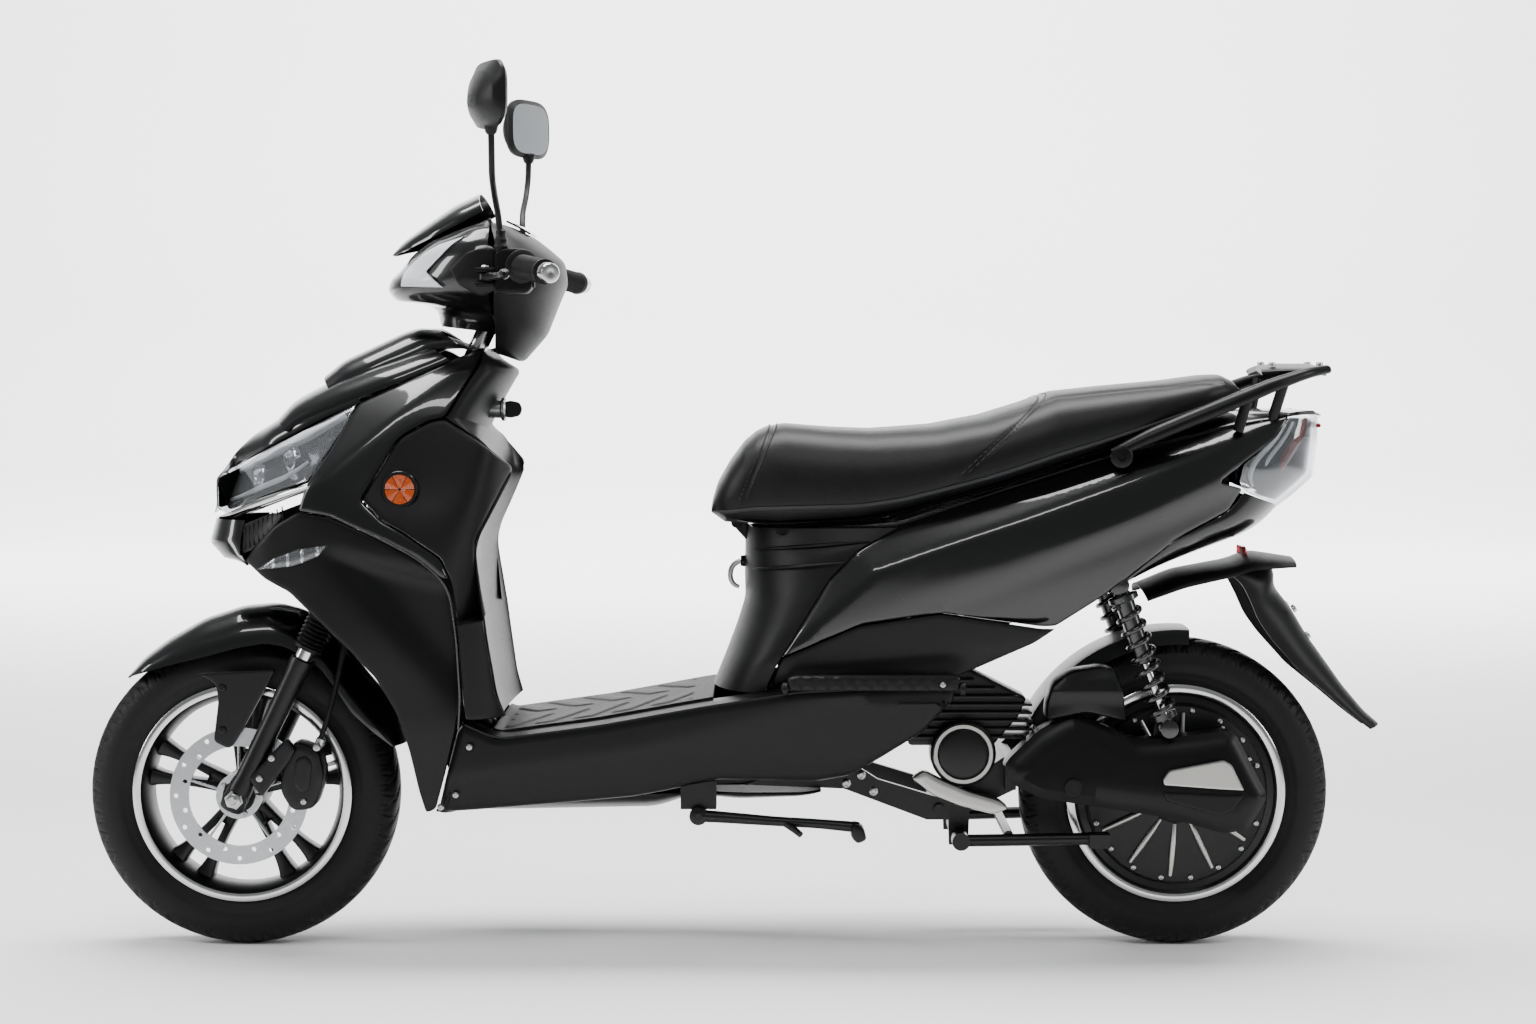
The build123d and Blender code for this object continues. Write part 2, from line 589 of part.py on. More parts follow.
def controls():
    """Switch housings with lever perches, levers and switches."""
    for_side = []
    for side in (-1, 1):
        low, high = sorted((170 * side, 191 * side))
        body = block(-338, -284, low, high, 966, 1030)
        lugs = block(-364, -338, *sorted((172 * side, 191 * side)), 976, 1004)
        gap = block(-366, -338.5, low - 2, high + 2, 984.5, 995.5)
        pivot = rod((-352, 182 * side, 976), (-352, 182 * side, 1004), 4)
        bar = rod(along_grip(side, -80), along_grip(side, 40), BAR_RADIUS)
        shape = joined(body, lugs) - gap + pivot - bar
        if side < 0:
            shape = shape - rod((-296, -181, 980), (-280, -181, 980), 6.2)
            shape = shape - block(-292, -280, -188, -173, 996, 1006)
        for_side.append(biggest(shape, 1))
        save("brake_lever_" + ("left" if side < 0 else "right"), brake_lever(side))
    save("switch_housings", group(*for_side))
    save("horn_button", rod((-291, -181, 980), (-281, -181, 980), 5.8))
    save("turn_switch", block(-291, -278, -183, -178, 997, 1005))


def brake_lever(side):
    """A cranked lever that turns on the perch's pin."""
    outline = [
        (-360, 174), (-344, 174), (-342, 190), (-330, 215), (-312, 300), (-298, 330),
        (-304, 340), (-316, 336), (-334, 290), (-346, 235), (-360, 200),
    ]  # fmt: skip
    points = [(x, y * side) for x, y in outline]
    lever = plan_slab(points, 985, 995)
    return lever - rod((-352, 182 * side, 980), (-352, 182 * side, 1000), 4.05)


def mirrors():
    """Each mirror's stem, housing and glass."""
    for side in (-1, 1):
        x, y, z = MIRROR_BASE
        route = [
            (x, y * side, z), (-332, (y + 4) * side, z + 46), (-333, 262 * side, 1124),
            (-331, 290 * side, 1184),
        ]  # fmt: skip
        stem = bent_tube(route, 4.5, 18) + rod((x, y * side, z), (x, y * side, z + 12), 9)
        stem = stem + rod((-331, 290 * side, 1184), (-331, 290 * side, 1196), 9)
        place = Pos(-330, 294 * side, 1236) * Rot(0, 0, -24 * side)
        front = Plane(origin=(0, 0, 0), x_dir=(0, 1, 0), z_dir=(-1, 0, 0))
        back = Plane(origin=(-26, 0, 0), x_dir=(0, 1, 0), z_dir=(-1, 0, 0))
        shell = loft([front * RectangleRounded(132, 92, 24), back * RectangleRounded(84, 52, 16)])
        recess = extrude(front * RectangleRounded(124, 84, 20), amount=4)
        glass = extrude(front * RectangleRounded(123.6, 83.6, 20), amount=3)
        housing = place * (shell - recess)
        name = "mirror_" + ("left" if side < 0 else "right")
        save(name, group(stem - housing, housing, place * (Pos(-0.5, 0, 0) * glass)))


# Front wheel and fork
def fork_lowers():
    """Fork legs with the axle, and their dust boots."""
    legs = []
    for side in (-1, 1):
        leg = rod(on_leg(0, 88 * side), on_leg(245, 88 * side), 16) + pin(
            FRONT_AXLE_X, TYRE_RADIUS, *sorted((76 * side, 102 * side)), 18
        )
        plate = slab([(-766, 312), (-742, 300), (-700, 360), (-678, 414), (-756, 396)],
                     *sorted((64 * side, 76 * side)))
        leg = joined(leg, plate)
        if side < 0:
            lug = slab([(-712, 270), (-655, 322), (-648, 300), (-690, 232)], -104, -90)
            leg = joined(leg, lug)
        bore = rod(on_leg(55, 88 * side), on_leg(260, 88 * side), STANCHION_RADIUS + FORK_FIT)
        legs.append(biggest(leg - bore - pin(FRONT_AXLE_X, TYRE_RADIUS, -140, 140, 8), 1))
    axle = pin(FRONT_AXLE_X, TYRE_RADIUS, -108, 108, 8)
    nuts = [pin(FRONT_AXLE_X, TYRE_RADIUS, *sorted((103 * s, 112 * s)), 13, 8) for s in (-1, 1)]
    save("fork_lowers", group(*legs, axle, *nuts))
    boots = []
    for side in (-1, 1):
        boot = rod(on_leg(246, 88 * side), on_leg(312, 88 * side), 19, 15)
        for ring in range(6):
            height = 250 + ring * 10
            boot = boot + rod(on_leg(height, 88 * side), on_leg(height + 5, 88 * side), 22, 15)
        boots.append(boot)
    save("fork_gaiters", group(*boots))


def front_fender():
    """The front mudguard, open below round the tyre."""
    shell = slab(FENDER_SIDE, -62, 62) - slab(shrink(FENDER_SIDE, 3), -59, 59)
    section = [
        (-62, 280), (-62, 420), (-44, 486), (-24, 520), (24, 520), (44, 486), (62, 420), (62, 280),
    ]  # fmt: skip
    crown = section_slab(section, -1000, -400)
    shell = shell & crown
    shell = shell - pin(FRONT_AXLE_X, TYRE_RADIUS, -58, 58, TYRE_RADIUS + 14)
    save("front_fender", biggest(shell, 1))


def front_brake():
    """Disc, caliper and hose."""
    ring = pin(FRONT_AXLE_X, TYRE_RADIUS, -66, -62, 102) - pin(FRONT_AXLE_X, TYRE_RADIUS, -70, -60, 74)
    for k in range(5):
        angle = math.radians(90 + 72 * k)
        x = FRONT_AXLE_X + 78 * math.cos(angle)
        z = TYRE_RADIUS + 78 * math.sin(angle)
        ring = ring + rod((FRONT_AXLE_X, -64, TYRE_RADIUS), (x, -64, z), 2)
    hub = pin(FRONT_AXLE_X, TYRE_RADIUS, -66, -62, 34)
    ring = joined(ring, hub) - pin(FRONT_AXLE_X, TYRE_RADIUS, -80, -50, 24)
    for k in range(24):
        angle = math.radians(15 * k)
        radius = 82 if k % 2 else 93
        x = FRONT_AXLE_X + radius * math.cos(angle)
        z = TYRE_RADIUS + radius * math.sin(angle)
        ring = ring - pin(x, z, -70, -60, 3.5)
    save("brake_disc", biggest(ring, 1))
    outline = [
        (-668, 240), (-664, 300), (-640, 316), (-606, 300), (-600, 262), (-616, 214), (-650, 210),
    ]  # fmt: skip
    body = slab(outline, -90, -52) - pin(FRONT_AXLE_X, TYRE_RADIUS, -68, -60, 106)
    legs = joined(*[rod(on_leg(0, -88), on_leg(245, -88), 16.3)])
    lug = slab([(-712, 270), (-655, 322), (-648, 300), (-690, 232)], -104, -90)
    save("brake_caliper", biggest(body - legs - lug, 1))
    route = [
        (-612, -78, 311), (-600, -78, 340), (-584, -76, 400), (-572, -72, 462), (-552, -62, 540),
        (-536, -44, 612),
    ]  # fmt: skip
    save("brake_hose", bent_tube(route, 4, 24))


def tyre_profile(width, hollow):
    """The tyre's (y, radius) section outline."""
    outer = [
        (-36, 153), (-37, 163), (-width, 180), (-width, 196), (-width + 4, 212), (-34, 224),
        (-19, TYRE_RADIUS), (19, TYRE_RADIUS), (34, 224), (width - 4, 212), (width, 196),
        (width, 180), (37, 163), (36, 153),
    ]  # fmt: skip
    inner = [
        (28, 153), (29, 166), (width - 8, 182), (width - 9, 200), (20, 218), (-20, 218),
        (9 - width, 200), (8 - width, 182), (-29, 166), (-28, 153),
    ]  # fmt: skip
    return outer + inner if hollow else outer


def front_wheel():
    """Front tyre and the cast rim with its bearings."""
    save("front_tyre", turned(tyre_profile(TYRE_HALF_WIDTH, True), FRONT_AXLE))
    barrel = [
        (-42, 162), (-38.5, 162), (-38, RIM_RADIUS), (38, RIM_RADIUS), (38.5, 162), (42, 162),
        (40, 150), (18, 140), (-18, 140), (-40, 150),
    ]  # fmt: skip
    rim = turned(barrel, FRONT_AXLE)
    hub = pin(FRONT_AXLE_X, TYRE_RADIUS, -60, 60, 31)
    spokes = []
    for k in range(5):
        middle = math.radians(90 + 72 * k)
        for turn in (-0.17, 0.17):
            angle = middle + turn
            end = (FRONT_AXLE_X + 143 * math.cos(angle), 0, TYRE_RADIUS + 143 * math.sin(angle))
            spokes.append(rod((FRONT_AXLE_X, 0, TYRE_RADIUS), end, 9))
    wheel = joined(rim, hub, *spokes)
    wheel = wheel - pin(FRONT_AXLE_X, TYRE_RADIUS, -70, 70, 17)
    collar = pin(FRONT_AXLE_X, TYRE_RADIUS, -66, -60, 23.5, 17)
    rings = [pin(FRONT_AXLE_X, TYRE_RADIUS, *sorted((46 * s, 58 * s)), 17, 8.05) for s in (-1, 1)]
    save("front_wheel_rim", group(biggest(joined(wheel, collar), 1), *rings))


# Rear wheel and drive
COVER_OUTLINE = [
    (390, 282), (398, 296), (442, 337), (477, 357), (492, 362), (506, 357), (583, 323),
    (629, 325), (716, 336), (730, 328), (774, 241), (746, 192), (710, 186), (630, 209),
    (442, 238), (399, 260),
]  # fmt: skip


def rear_wheel():
    """Rear tyre and the hub motor with its ribs and cover bolts."""
    save("rear_tyre", turned(tyre_profile(TYRE_HALF_WIDTH, True), REAR_AXLE))
    profile = [
        (-42, 162), (-38.5, 162), (-38, RIM_RADIUS), (38, RIM_RADIUS), (38.5, 162), (42, 162),
        (40, 148), (44, 134), (52, 132), (56, 60), (60, 56), (60, 9.05), (-60, 9.05), (-60, 56),
        (-56, 60), (-52, 132), (-44, 134), (-40, 148),
    ]  # fmt: skip
    motor = turned(profile, REAR_AXLE)
    bolts = []
    for k in range(18):
        angle = math.radians(20 * k)
        x = REAR_AXLE_X + 125 * math.cos(angle)
        z = TYRE_RADIUS + 125 * math.sin(angle)
        for side in (-1, 1):
            bolts.append(pin(x, z, *sorted((53 * side, 57 * side)), 4) - motor)
    save("rear_hub_motor", group(motor, *bolts))


def swingarm():
    """The drive-side casting, its right arm, the axle and the left cover."""
    x, z = SWING_PIVOT
    arms = []
    inner = shrink(COVER_OUTLINE, 8)
    for side in (-1, 1):
        arms.append(slab(inner, *sorted((66 * side, 97 * side))))
    nose_side = [(286, 200), (286, 228), (312, 232), (398, 290), (412, 288), (412, 240), (330, 200)]
    nose = slab(nose_side, -70, 70)
    bridge = block(396, 412, -97, 97, 244, 290)
    sx, sz = CENTRE_STAND_PIVOT
    hanger_side = [(314, 210), (346, 210), (344, 158), (316, 158)]
    hangers = [slab(hanger_side, *sorted((58 * s, 69 * s))) for s in (-1, 1)]
    nose = joined(nose, *hangers) - pin(sx, sz, -80, 80, 11.05)
    lugs = []
    sx, sz = SHOCK_BOTTOM
    for side in (-1, 1):
        stay_side = [(sx - 20, 300), (sx - 12, sz + 14), (sx + 12, sz + 14), (sx + 20, 300)]
        stay = slab(stay_side, *sorted((80 * side, 97 * side)))
        lugs.append(stay + pin(sx, sz + 8, *sorted((90 * side, 138 * side)), 6))
    arm = joined(*arms, nose, bridge, *lugs)
    arm = arm - pin(x, z, -80, 80, 8) - pin(REAR_AXLE_X, TYRE_RADIUS, -200, 200, 9)
    arm = arm - pin(REAR_AXLE_X, TYRE_RADIUS, -65.5, 65.5, 240)
    bolt = pin(x, z, -92, 92, 7.95)
    axle = pin(REAR_AXLE_X, TYRE_RADIUS, -104, 104, 9)
    save("swingarm", group(biggest(arm, 1), axle, bolt))
    cover = slab(COVER_OUTLINE, -146, -98) - slab(shrink(COVER_OUTLINE, 4), -142, -97)
    cover = cover - pin(sx, sz + 8, -200, -90, 7) - pin(490, 256, -160, -120, 10)
    save("motor_cover", biggest(cover, 1))


def engine_trim():
    """Dummy engine block, air box and rear hugger."""
    block_side = [(252, 306), (246, 430), (330, 434), (436, 378), (424, 372), (380, 306)]
    block_shape = slab(block_side, -72, 72)
    fins = [block(240, 440, -80, 80, z, z + 4) for z in range(316, 420, 14)]
    fin_side = [(246, 300), (240, 430), (330, 434), (442, 378), (424, 372), (380, 300)]
    outline = slab(fin_side, -90, 90)
    round_cover = pin(334, 298, -104, -60, 48)
    casting_side = [
        (257, 262), (277, 275), (300, 262), (342, 244), (390, 230), (402, 218), (380, 208),
        (330, 220), (290, 236),
    ]  # fmt: skip
    casting = slab(casting_side, -103, -88)
    engine = joined(block_shape, *[fin & outline for fin in fins], round_cover, casting)
    arm_room = slab([(280, 190), (280, 230), (396, 296), (414, 294), (414, 190)], -86, 86)
    engine = engine - arm_room
    airbox_side = [
        (450, 366), (452, 378), (460, 406), (489, 424), (533, 430), (552, 427), (564, 392),
        (570, 344), (510, 366),
    ]  # fmt: skip
    airbox = slab(airbox_side, -138, -100)
    guard_profile = [
        (-54, 246), (-54, 216), (-50, 216), (-50, 242), (50, 242), (50, 216), (54, 216), (54, 246),
    ]  # fmt: skip
    guard = turned(guard_profile, REAR_AXLE)
    wedge = slab([(REAR_AXLE_X, TYRE_RADIUS), (676, 600), (380, 600), (400, 390)], -200, 200)
    arms = slab(COVER_OUTLINE, -200, 200)
    guard = biggest((guard & wedge) - arms, 1)
    save("engine_trim", group(biggest(engine, 1), airbox, guard))


def shocks():
    """Two rear shock absorbers: upper halves, lower halves and springs."""
    upper, lower, springs = [], [], []
    top = Vector(SHOCK_TOP[0], 0, SHOCK_TOP[1])
    bottom = Vector(SHOCK_BOTTOM[0], 0, SHOCK_BOTTOM[1] + 8)
    down = (bottom - top).normalized()
    length = (bottom - top).length
    for side in (-1, 1):
        y = Vector(0, SHOCK_Y * side, 0)
        eye = pin(top.X, top.Z, *sorted((112 * side, 138 * side)), 14)
        body = rod(top + y + down * 8, top + y + down * 120, 13)
        perch = rod(top + y + down * 18, top + y + down * 26, 21)
        bore = rod(top + y + down * 60, top + y + down * 130, 6.05)
        upper.append(joined(eye, body, perch) - bore)
        low_eye = pin(bottom.X, bottom.Z, *sorted((112 * side, 136 * side)), 13)
        shaft = rod(top + y + down * 100, bottom + y, 6)
        seat_ring = rod(bottom + y - down * 24, bottom + y - down * 16, 19)
        hole = pin(bottom.X, bottom.Z, -160, 160, 8)
        lower.append(joined(low_eye, shaft, seat_ring) - hole)
        springs.append(rod(top + y + down * 27, top + y + down * (length - 25), 19, 15))
    save("shock_uppers", group(*upper))
    save("shock_lowers", group(*lower))
    save("shock_springs", group(*springs))


# Stands and footrests
def stands():
    """Side stand and centre stand, folded up."""
    x, z = SIDE_STAND_PIVOT
    leg = bent_tube([(x, -142, z), (60, -142, 206), (178, -146, 200)], 7, 60)
    eye = pin(x, z, -150, -134, 13) - pin(x, z, -160, -120, 5)
    foot = slab([(170, 206), (186, 200), (192, 182), (176, 176), (168, 190)], -166, -136)
    bolt = pin(x, z, -154, -104, 4.95)
    stand = biggest(joined(leg - pin(x, z, -160, -120, 5), eye, foot), 1)
    save("side_stand", group(stand, bolt))
    x, z = CENTRE_STAND_PIVOT
    cross = pin(x, z, -104, 104, 11)
    legs = [rod((x, 112 * s, z), (528, 118 * s, 176), 9) for s in (-1, 1)]
    hubs = [pin(x, z, *sorted((98 * s, 124 * s)), 13) for s in (-1, 1)]
    feet = [block(516, 546, *sorted((106 * s, 134 * s)), 164, 184) for s in (-1, 1)]
    tie = pin(400, 180, -113, 113, 7)
    save("centre_stand", joined(cross, *legs, *hubs, *feet, tie))


def footrests():
    """The two fold-out passenger footrests."""
    x, z = FOOTREST_HINGE
    for side in (-1, 1):
        low, high = sorted((176 * side, 192 * side))
        board = block(x - 84, x + 160, low, high, z + 6, z + 32)
        axle = rod((x - 90, 184 * side, z + 12), (x + 166, 184 * side, z + 12), 3)
        save("footrest_" + ("left" if side < 0 else "right"), joined(board, axle))


def main():
    """Builds every node."""
    os.makedirs("parts", exist_ok=True)
    for build in (
        front_body, reflectors, floor_parts, tail_body, rear_mudguard, grab_rail, main_frame,
        carried_parts, lock_and_key, seat, steering, grips, handlebar_covers, controls, mirrors,
        fork_lowers, front_fender, front_brake, front_wheel, rear_wheel, swingarm, engine_trim,
        shocks, stands, footrests,
    ):  # fmt: skip
        build()


if __name__ == "__main__":
    main()
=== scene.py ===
"""Looks of the electric moped scooter: shells, seat, wheels, lamps and finishes, on the CAD's frame.

Metres. The scooter faces -X and stands on Z = 0. Lists of shape points are in millimetres.
"""

import math

import bmesh
import bpy
import numpy as np
from mathutils import Matrix, Vector, geometry


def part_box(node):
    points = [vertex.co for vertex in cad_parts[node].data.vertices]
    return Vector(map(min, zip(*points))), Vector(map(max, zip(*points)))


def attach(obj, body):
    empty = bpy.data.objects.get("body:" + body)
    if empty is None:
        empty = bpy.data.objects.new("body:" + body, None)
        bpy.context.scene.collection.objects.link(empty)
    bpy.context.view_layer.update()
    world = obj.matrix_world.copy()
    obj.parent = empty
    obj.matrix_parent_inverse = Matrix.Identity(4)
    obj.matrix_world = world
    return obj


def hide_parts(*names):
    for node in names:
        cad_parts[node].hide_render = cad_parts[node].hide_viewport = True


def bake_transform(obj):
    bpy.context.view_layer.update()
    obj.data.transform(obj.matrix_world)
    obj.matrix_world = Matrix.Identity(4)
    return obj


MM = 0.001
RAKE = math.radians(26.0)
UP_FORK = (math.sin(RAKE), 0.0, math.cos(RAKE))
FRONT_AXLE = (-732.0, 0.0, 230.0)
REAR_AXLE = (654.0, 0.0, 230.0)
ROUND_COVER = (334.0, -60.0, 298.0)

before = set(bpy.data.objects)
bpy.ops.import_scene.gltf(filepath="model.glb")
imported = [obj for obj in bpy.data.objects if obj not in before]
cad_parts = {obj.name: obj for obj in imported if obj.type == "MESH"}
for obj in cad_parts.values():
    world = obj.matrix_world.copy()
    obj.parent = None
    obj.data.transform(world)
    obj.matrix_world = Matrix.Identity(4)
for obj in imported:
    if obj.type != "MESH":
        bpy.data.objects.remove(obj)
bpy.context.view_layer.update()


# Colour and material helpers
def linear(shade):
    """An sRGB hex colour as linear RGBA."""
    parts = [int(shade[k : k + 2], 16) / 255 for k in (0, 2, 4)]
    return (*[c / 12.92 if c <= 0.04045 else ((c + 0.055) / 1.055) ** 2.4 for c in parts], 1.0)


def add(tree, kind, settings=None, **sockets):
    """Adds a node with its settings; each socket gets a value or a link."""
    made = tree.nodes.new(kind)
    for key, value in (settings or {}).items():
        setattr(made, key, value)
    for key, value in sockets.items():
        socket = made.inputs[int(key[1:])] if key[1:].isdigit() else made.inputs[key.replace("_", " ")]
        if isinstance(value, bpy.types.NodeSocket):
            tree.links.new(value, socket)
        else:
            socket.default_value = value
    return made


def blank(name):
    """A material with its principled shader and object coordinates."""
    material = bpy.data.materials.new(name)
    material.use_nodes = True
    tree = material.node_tree
    shader = tree.nodes["Principled BSDF"]
    where = add(tree, "ShaderNodeTexCoord").outputs["Object"]
    return material, tree, shader, where


def fill(tree, shader, **sockets):
    """Sets or links the shader's sockets."""
    for key, value in sockets.items():
        socket = shader.inputs[key.replace("_", " ")]
        if isinstance(value, bpy.types.NodeSocket):
            tree.links.new(value, socket)
        else:
            socket.default_value = value


def pattern(tree, where, kind, size_mm):
    """A repeating pattern's value, with features about size_mm across."""
    scale = 1000.0 / size_mm
    if kind == "cells":
        settings = {"feature": "SMOOTH_F1"}
        return add(tree, "ShaderNodeTexVoronoi", settings, Vector=where, Scale=scale).outputs["Distance"]
    if kind == "wrinkles":
        settings = {"feature": "DISTANCE_TO_EDGE"}
        bent = add(tree, "ShaderNodeTexNoise", None, Vector=where, Scale=scale * 0.6).outputs["Color"]
        mixed = add(tree, "ShaderNodeMix", {"data_type": "VECTOR"}, i0=0.0012, i4=where, i5=bent)
        found = add(tree, "ShaderNodeTexVoronoi", settings, Vector=mixed.outputs[1], Scale=scale)
        capped = add(tree, "ShaderNodeMath", {"operation": "MINIMUM"}, i0=found.outputs[0], i1=0.16)
        return capped.outputs[0]
    return add(tree, "ShaderNodeTexNoise", None, Vector=where, Scale=scale, Detail=4.0).outputs["Fac"]


PATCH_MM = 90.0


def finish_of(name, shade, shade_far, rough, grain, metal=0.0, coat=0.0, spread=0.06, shine=0.5):
    """A solid finish: two close shades in broad patches, uneven gloss and a relief.

    grain is (pattern kind, size in mm, depth in mm).
    """
    material, tree, shader, where = blank(name)
    broad = pattern(tree, where, "cloud", PATCH_MM)
    both_shades = add(tree, "ShaderNodeMix", {"data_type": "RGBA"}, i0=broad, i6=linear(shade),
                      i7=linear(shade_far))
    fine = pattern(tree, where, "cloud", PATCH_MM / 12)
    gloss = add(tree, "ShaderNodeMapRange", None, Value=fine, i3=rough - spread, i4=rough + spread)
    kind, size_mm, depth_mm = grain
    relief = pattern(tree, where, kind, size_mm)
    bump = add(tree, "ShaderNodeBump", None, Strength=1.0, Distance=depth_mm * MM, Height=relief)
    fill(
        tree, shader, Base_Color=both_shades.outputs[2], Roughness=gloss.outputs[0], Metallic=metal,
        Normal=bump.outputs[0], Coat_Weight=coat, Coat_Roughness=0.04, Specular_IOR_Level=shine,
    )
    return material


# Finishes
# ABS mouldings sprayed black and clear-coated: deep black under a wet shine with faint orange peel.
gloss_paint = finish_of("gloss paint", "020202", "040405", 0.3, ("cloud", 9.0, 0.004), coat=0.85, shine=0.2)
# Polypropylene moulded in a spark-eroded tool: dark grey, even, a fine leathery sheen.
satin_plastic = finish_of("satin plastic", "050505", "09090a", 0.36, ("cells", 0.9, 0.03), shine=0.2)
# The coarser texture of the inner panels: duller and a little lighter.
matt_plastic = finish_of("matt plastic", "08080a", "0d0d0e", 0.45, ("cells", 1.3, 0.05), shine=0.22)
# Powder-coated steel tube: soft black gloss with the coating's ripple.
frame_coat = finish_of("frame coat", "050505", "0a0a0b", 0.32, ("cloud", 5.0, 0.03), shine=0.28)
# Sandcast and then painted alloy: satin black over a pebbled casting.
black_casting = finish_of("black casting", "050506", "0b0b0c", 0.36, ("cloud", 1.6, 0.06), shine=0.28)
# Bare cast alloy: warm silver, soft reflections, slightly pitted.
cast_alloy = finish_of("cast alloy", "b4b3ae", "9d9c98", 0.34, ("cloud", 1.2, 0.05), metal=1.0)
# Turned and polished alloy: bright, almost mirror, with faint turning haze.
polished_alloy = finish_of("polished alloy", "d6d6d4", "c2c2c0", 0.17, ("cloud", 0.8, 0.006), metal=1.0)
# Ground stainless steel: grey silver with a fine streaked sheen.
ground_steel = finish_of("ground steel", "aeb0b2", "979a9d", 0.28, ("cloud", 0.5, 0.012), metal=1.0)
# Zinc-plated steel fixings: dull bright with slight colour change.
plated_steel = finish_of("plated steel", "b9b8b2", "a2a5a8", 0.3, ("cloud", 1.0, 0.01), metal=1.0)
# Vulcanised tyre rubber: charcoal, dry, with a grey bloom and a stippled skin.
tyre_rubber = finish_of("tyre rubber", "080808", "0f0f0f", 0.55, ("cloud", 1.1, 0.06), spread=0.08,
                        shine=0.22)
# Soft grip rubber: blacker and a little greasy.
grip_rubber = finish_of("grip rubber", "060606", "0b0b0b", 0.5, ("cells", 0.8, 0.05), shine=0.22)
# Leather-grained vinyl: black with pebbles and creases that catch a soft shine.
seat_vinyl = finish_of("seat vinyl", "070708", "0c0c0d", 0.4, ("wrinkles", 2.6, 0.4), spread=0.07,
                       shine=0.24)
# Bonded polyester thread: dark grey and dull.
seat_thread = finish_of("seat thread", "1c1c1e", "262628", 0.75, ("cells", 0.4, 0.05))
# Painted spring wire: black enamel with a hard shine.
spring_enamel = finish_of("spring enamel", "0b0b0c", "131314", 0.27, ("cloud", 2.0, 0.015), coat=0.5)
# Vacuum-metallised plastic inside the lamps: bright chrome with shallow dimples.
lamp_chrome = finish_of("lamp chrome", "e6e7ea", "cfd2d6", 0.12, ("cells", 7.0, 0.9), metal=1.0)
# Dark metallised plastic behind the lit lines of the lamps: a deep grey mirror.
dark_chrome = finish_of("dark chrome", "2c2d30", "3a3b3f", 0.16, ("cells", 9.0, 0.7), metal=1.0)
# Battery case: grey moulded plastic.
battery_grey = finish_of("battery grey", "3a3d40", "45484b", 0.5, ("cells", 1.2, 0.05))


def lens_of(name, shade, rough, cell_mm, depth_mm, clear):
    """A moulded lamp lens with optics inside it."""
    material, tree, shader, where = blank(name)
    flutes = pattern(tree, where, "cells", cell_mm)
    bump = add(tree, "ShaderNodeBump", None, Strength=1.0, Distance=depth_mm * MM, Height=flutes)
    haze = pattern(tree, where, "cloud", 6.0)
    gloss = add(tree, "ShaderNodeMapRange", None, Value=haze, i3=rough, i4=rough + 0.05)
    fill(
        tree, shader, Base_Color=linear(shade), Roughness=gloss.outputs[0], Normal=bump.outputs[0],
        Transmission_Weight=clear, IOR=1.49, Coat_Weight=0.4, Coat_Roughness=0.03,
    )
    return material


# Clear polycarbonate: nearly colourless with a hard front gloss.
clear_lens = lens_of("clear lens", "f2f5f8", 0.03, 60.0, 0.05, 0.96)
# Frosted acrylic light guide: milky white.
light_guide = lens_of("light guide", "eef2f7", 0.3, 3.0, 0.1, 0.35)
# Amber acrylic with prism cells: deep orange that glitters in facets.
amber_lens = lens_of("amber lens", "c8500a", 0.1, 3.2, 0.8, 0.35)
# Red acrylic lamp lens: dark red with a lit edge.
red_lens = lens_of("red lens", "8e0d10", 0.08, 4.0, 0.5, 0.4)
# Silvered glass behind a thin clear layer.
mirror_glass = finish_of("mirror glass", "dfe3e6", "d8dde1", 0.03, ("cloud", 60.0, 0.01), metal=1.0,
                         spread=0.01)
# Display window: near-black glass with a cool tint.
display_glass = finish_of("display glass", "07090c", "0a0d12", 0.08, ("cloud", 40.0, 0.01), coat=1.0,
                          spread=0.02)


# Mesh helpers
def smooth_by_angle(mesh, degrees=38.0):
    """Soft shading except across sharp folds."""
    made = bmesh.new()
    made.from_mesh(mesh)
    limit = math.radians(degrees)
    for face in made.faces:
        face.smooth = True
    for edge in made.edges:
        if len(edge.link_faces) == 2:
            edge.smooth = edge.calc_face_angle(0.0) < limit
    made.to_mesh(mesh)
    made.free()


def piece(name, points, faces, material, body, slot, nodes=(), sharp=38.0, stretch=None):
    """A named mesh from points in millimetres, which rides a body and takes the given finish; slot is not
    used.

    stretch, when given, leaves the piece fixed where it stands and on no body; the second body's name and
    the points in it are not used.
    """
    points = np.asarray(points, float).reshape(-1, 3) * MM
    faces = [tuple(int(k) for k in face) for face in faces]
    mesh = bpy.data.meshes.new(name)
    mesh.from_pydata([tuple(p) for p in points], [], faces)
    made = bmesh.new()
    made.from_mesh(mesh)
    bmesh.ops.remove_doubles(made, verts=made.verts, dist=2e-5)
    bmesh.ops.recalc_face_normals(made, faces=made.faces)
    made.to_mesh(mesh)
    made.free()
    smooth_by_angle(mesh, sharp)
    thing = bpy.data.objects.new(name, mesh)
    bpy.context.scene.collection.objects.link(thing)
    thing.data.materials.append(material)
    if stretch:
        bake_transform(thing)
    else:
        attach(thing, body)
    if nodes:
        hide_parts(*nodes)
    return thing


def curve_at(table, value, soft=12.0):
    """The table's (position, width) read with its corners rounded off."""
    table = sorted(table)
    xs = [p[0] for p in table]
    ys = [p[1] for p in table]
    value = np.asarray(value, float)
    return sum(np.interp(value + soft * k, xs, ys) for k in (-1.5, -0.75, 0, 0.75, 1.5)) / 5


def soft_min(a, b):
    """The smaller of two widths, with the change between them rounded."""
    blend = 7.0
    low = np.minimum(a, b)
    return low - blend * np.log(np.exp(-(a - low) / blend) + np.exp(-(b - low) / blend)) + blend * 0.3


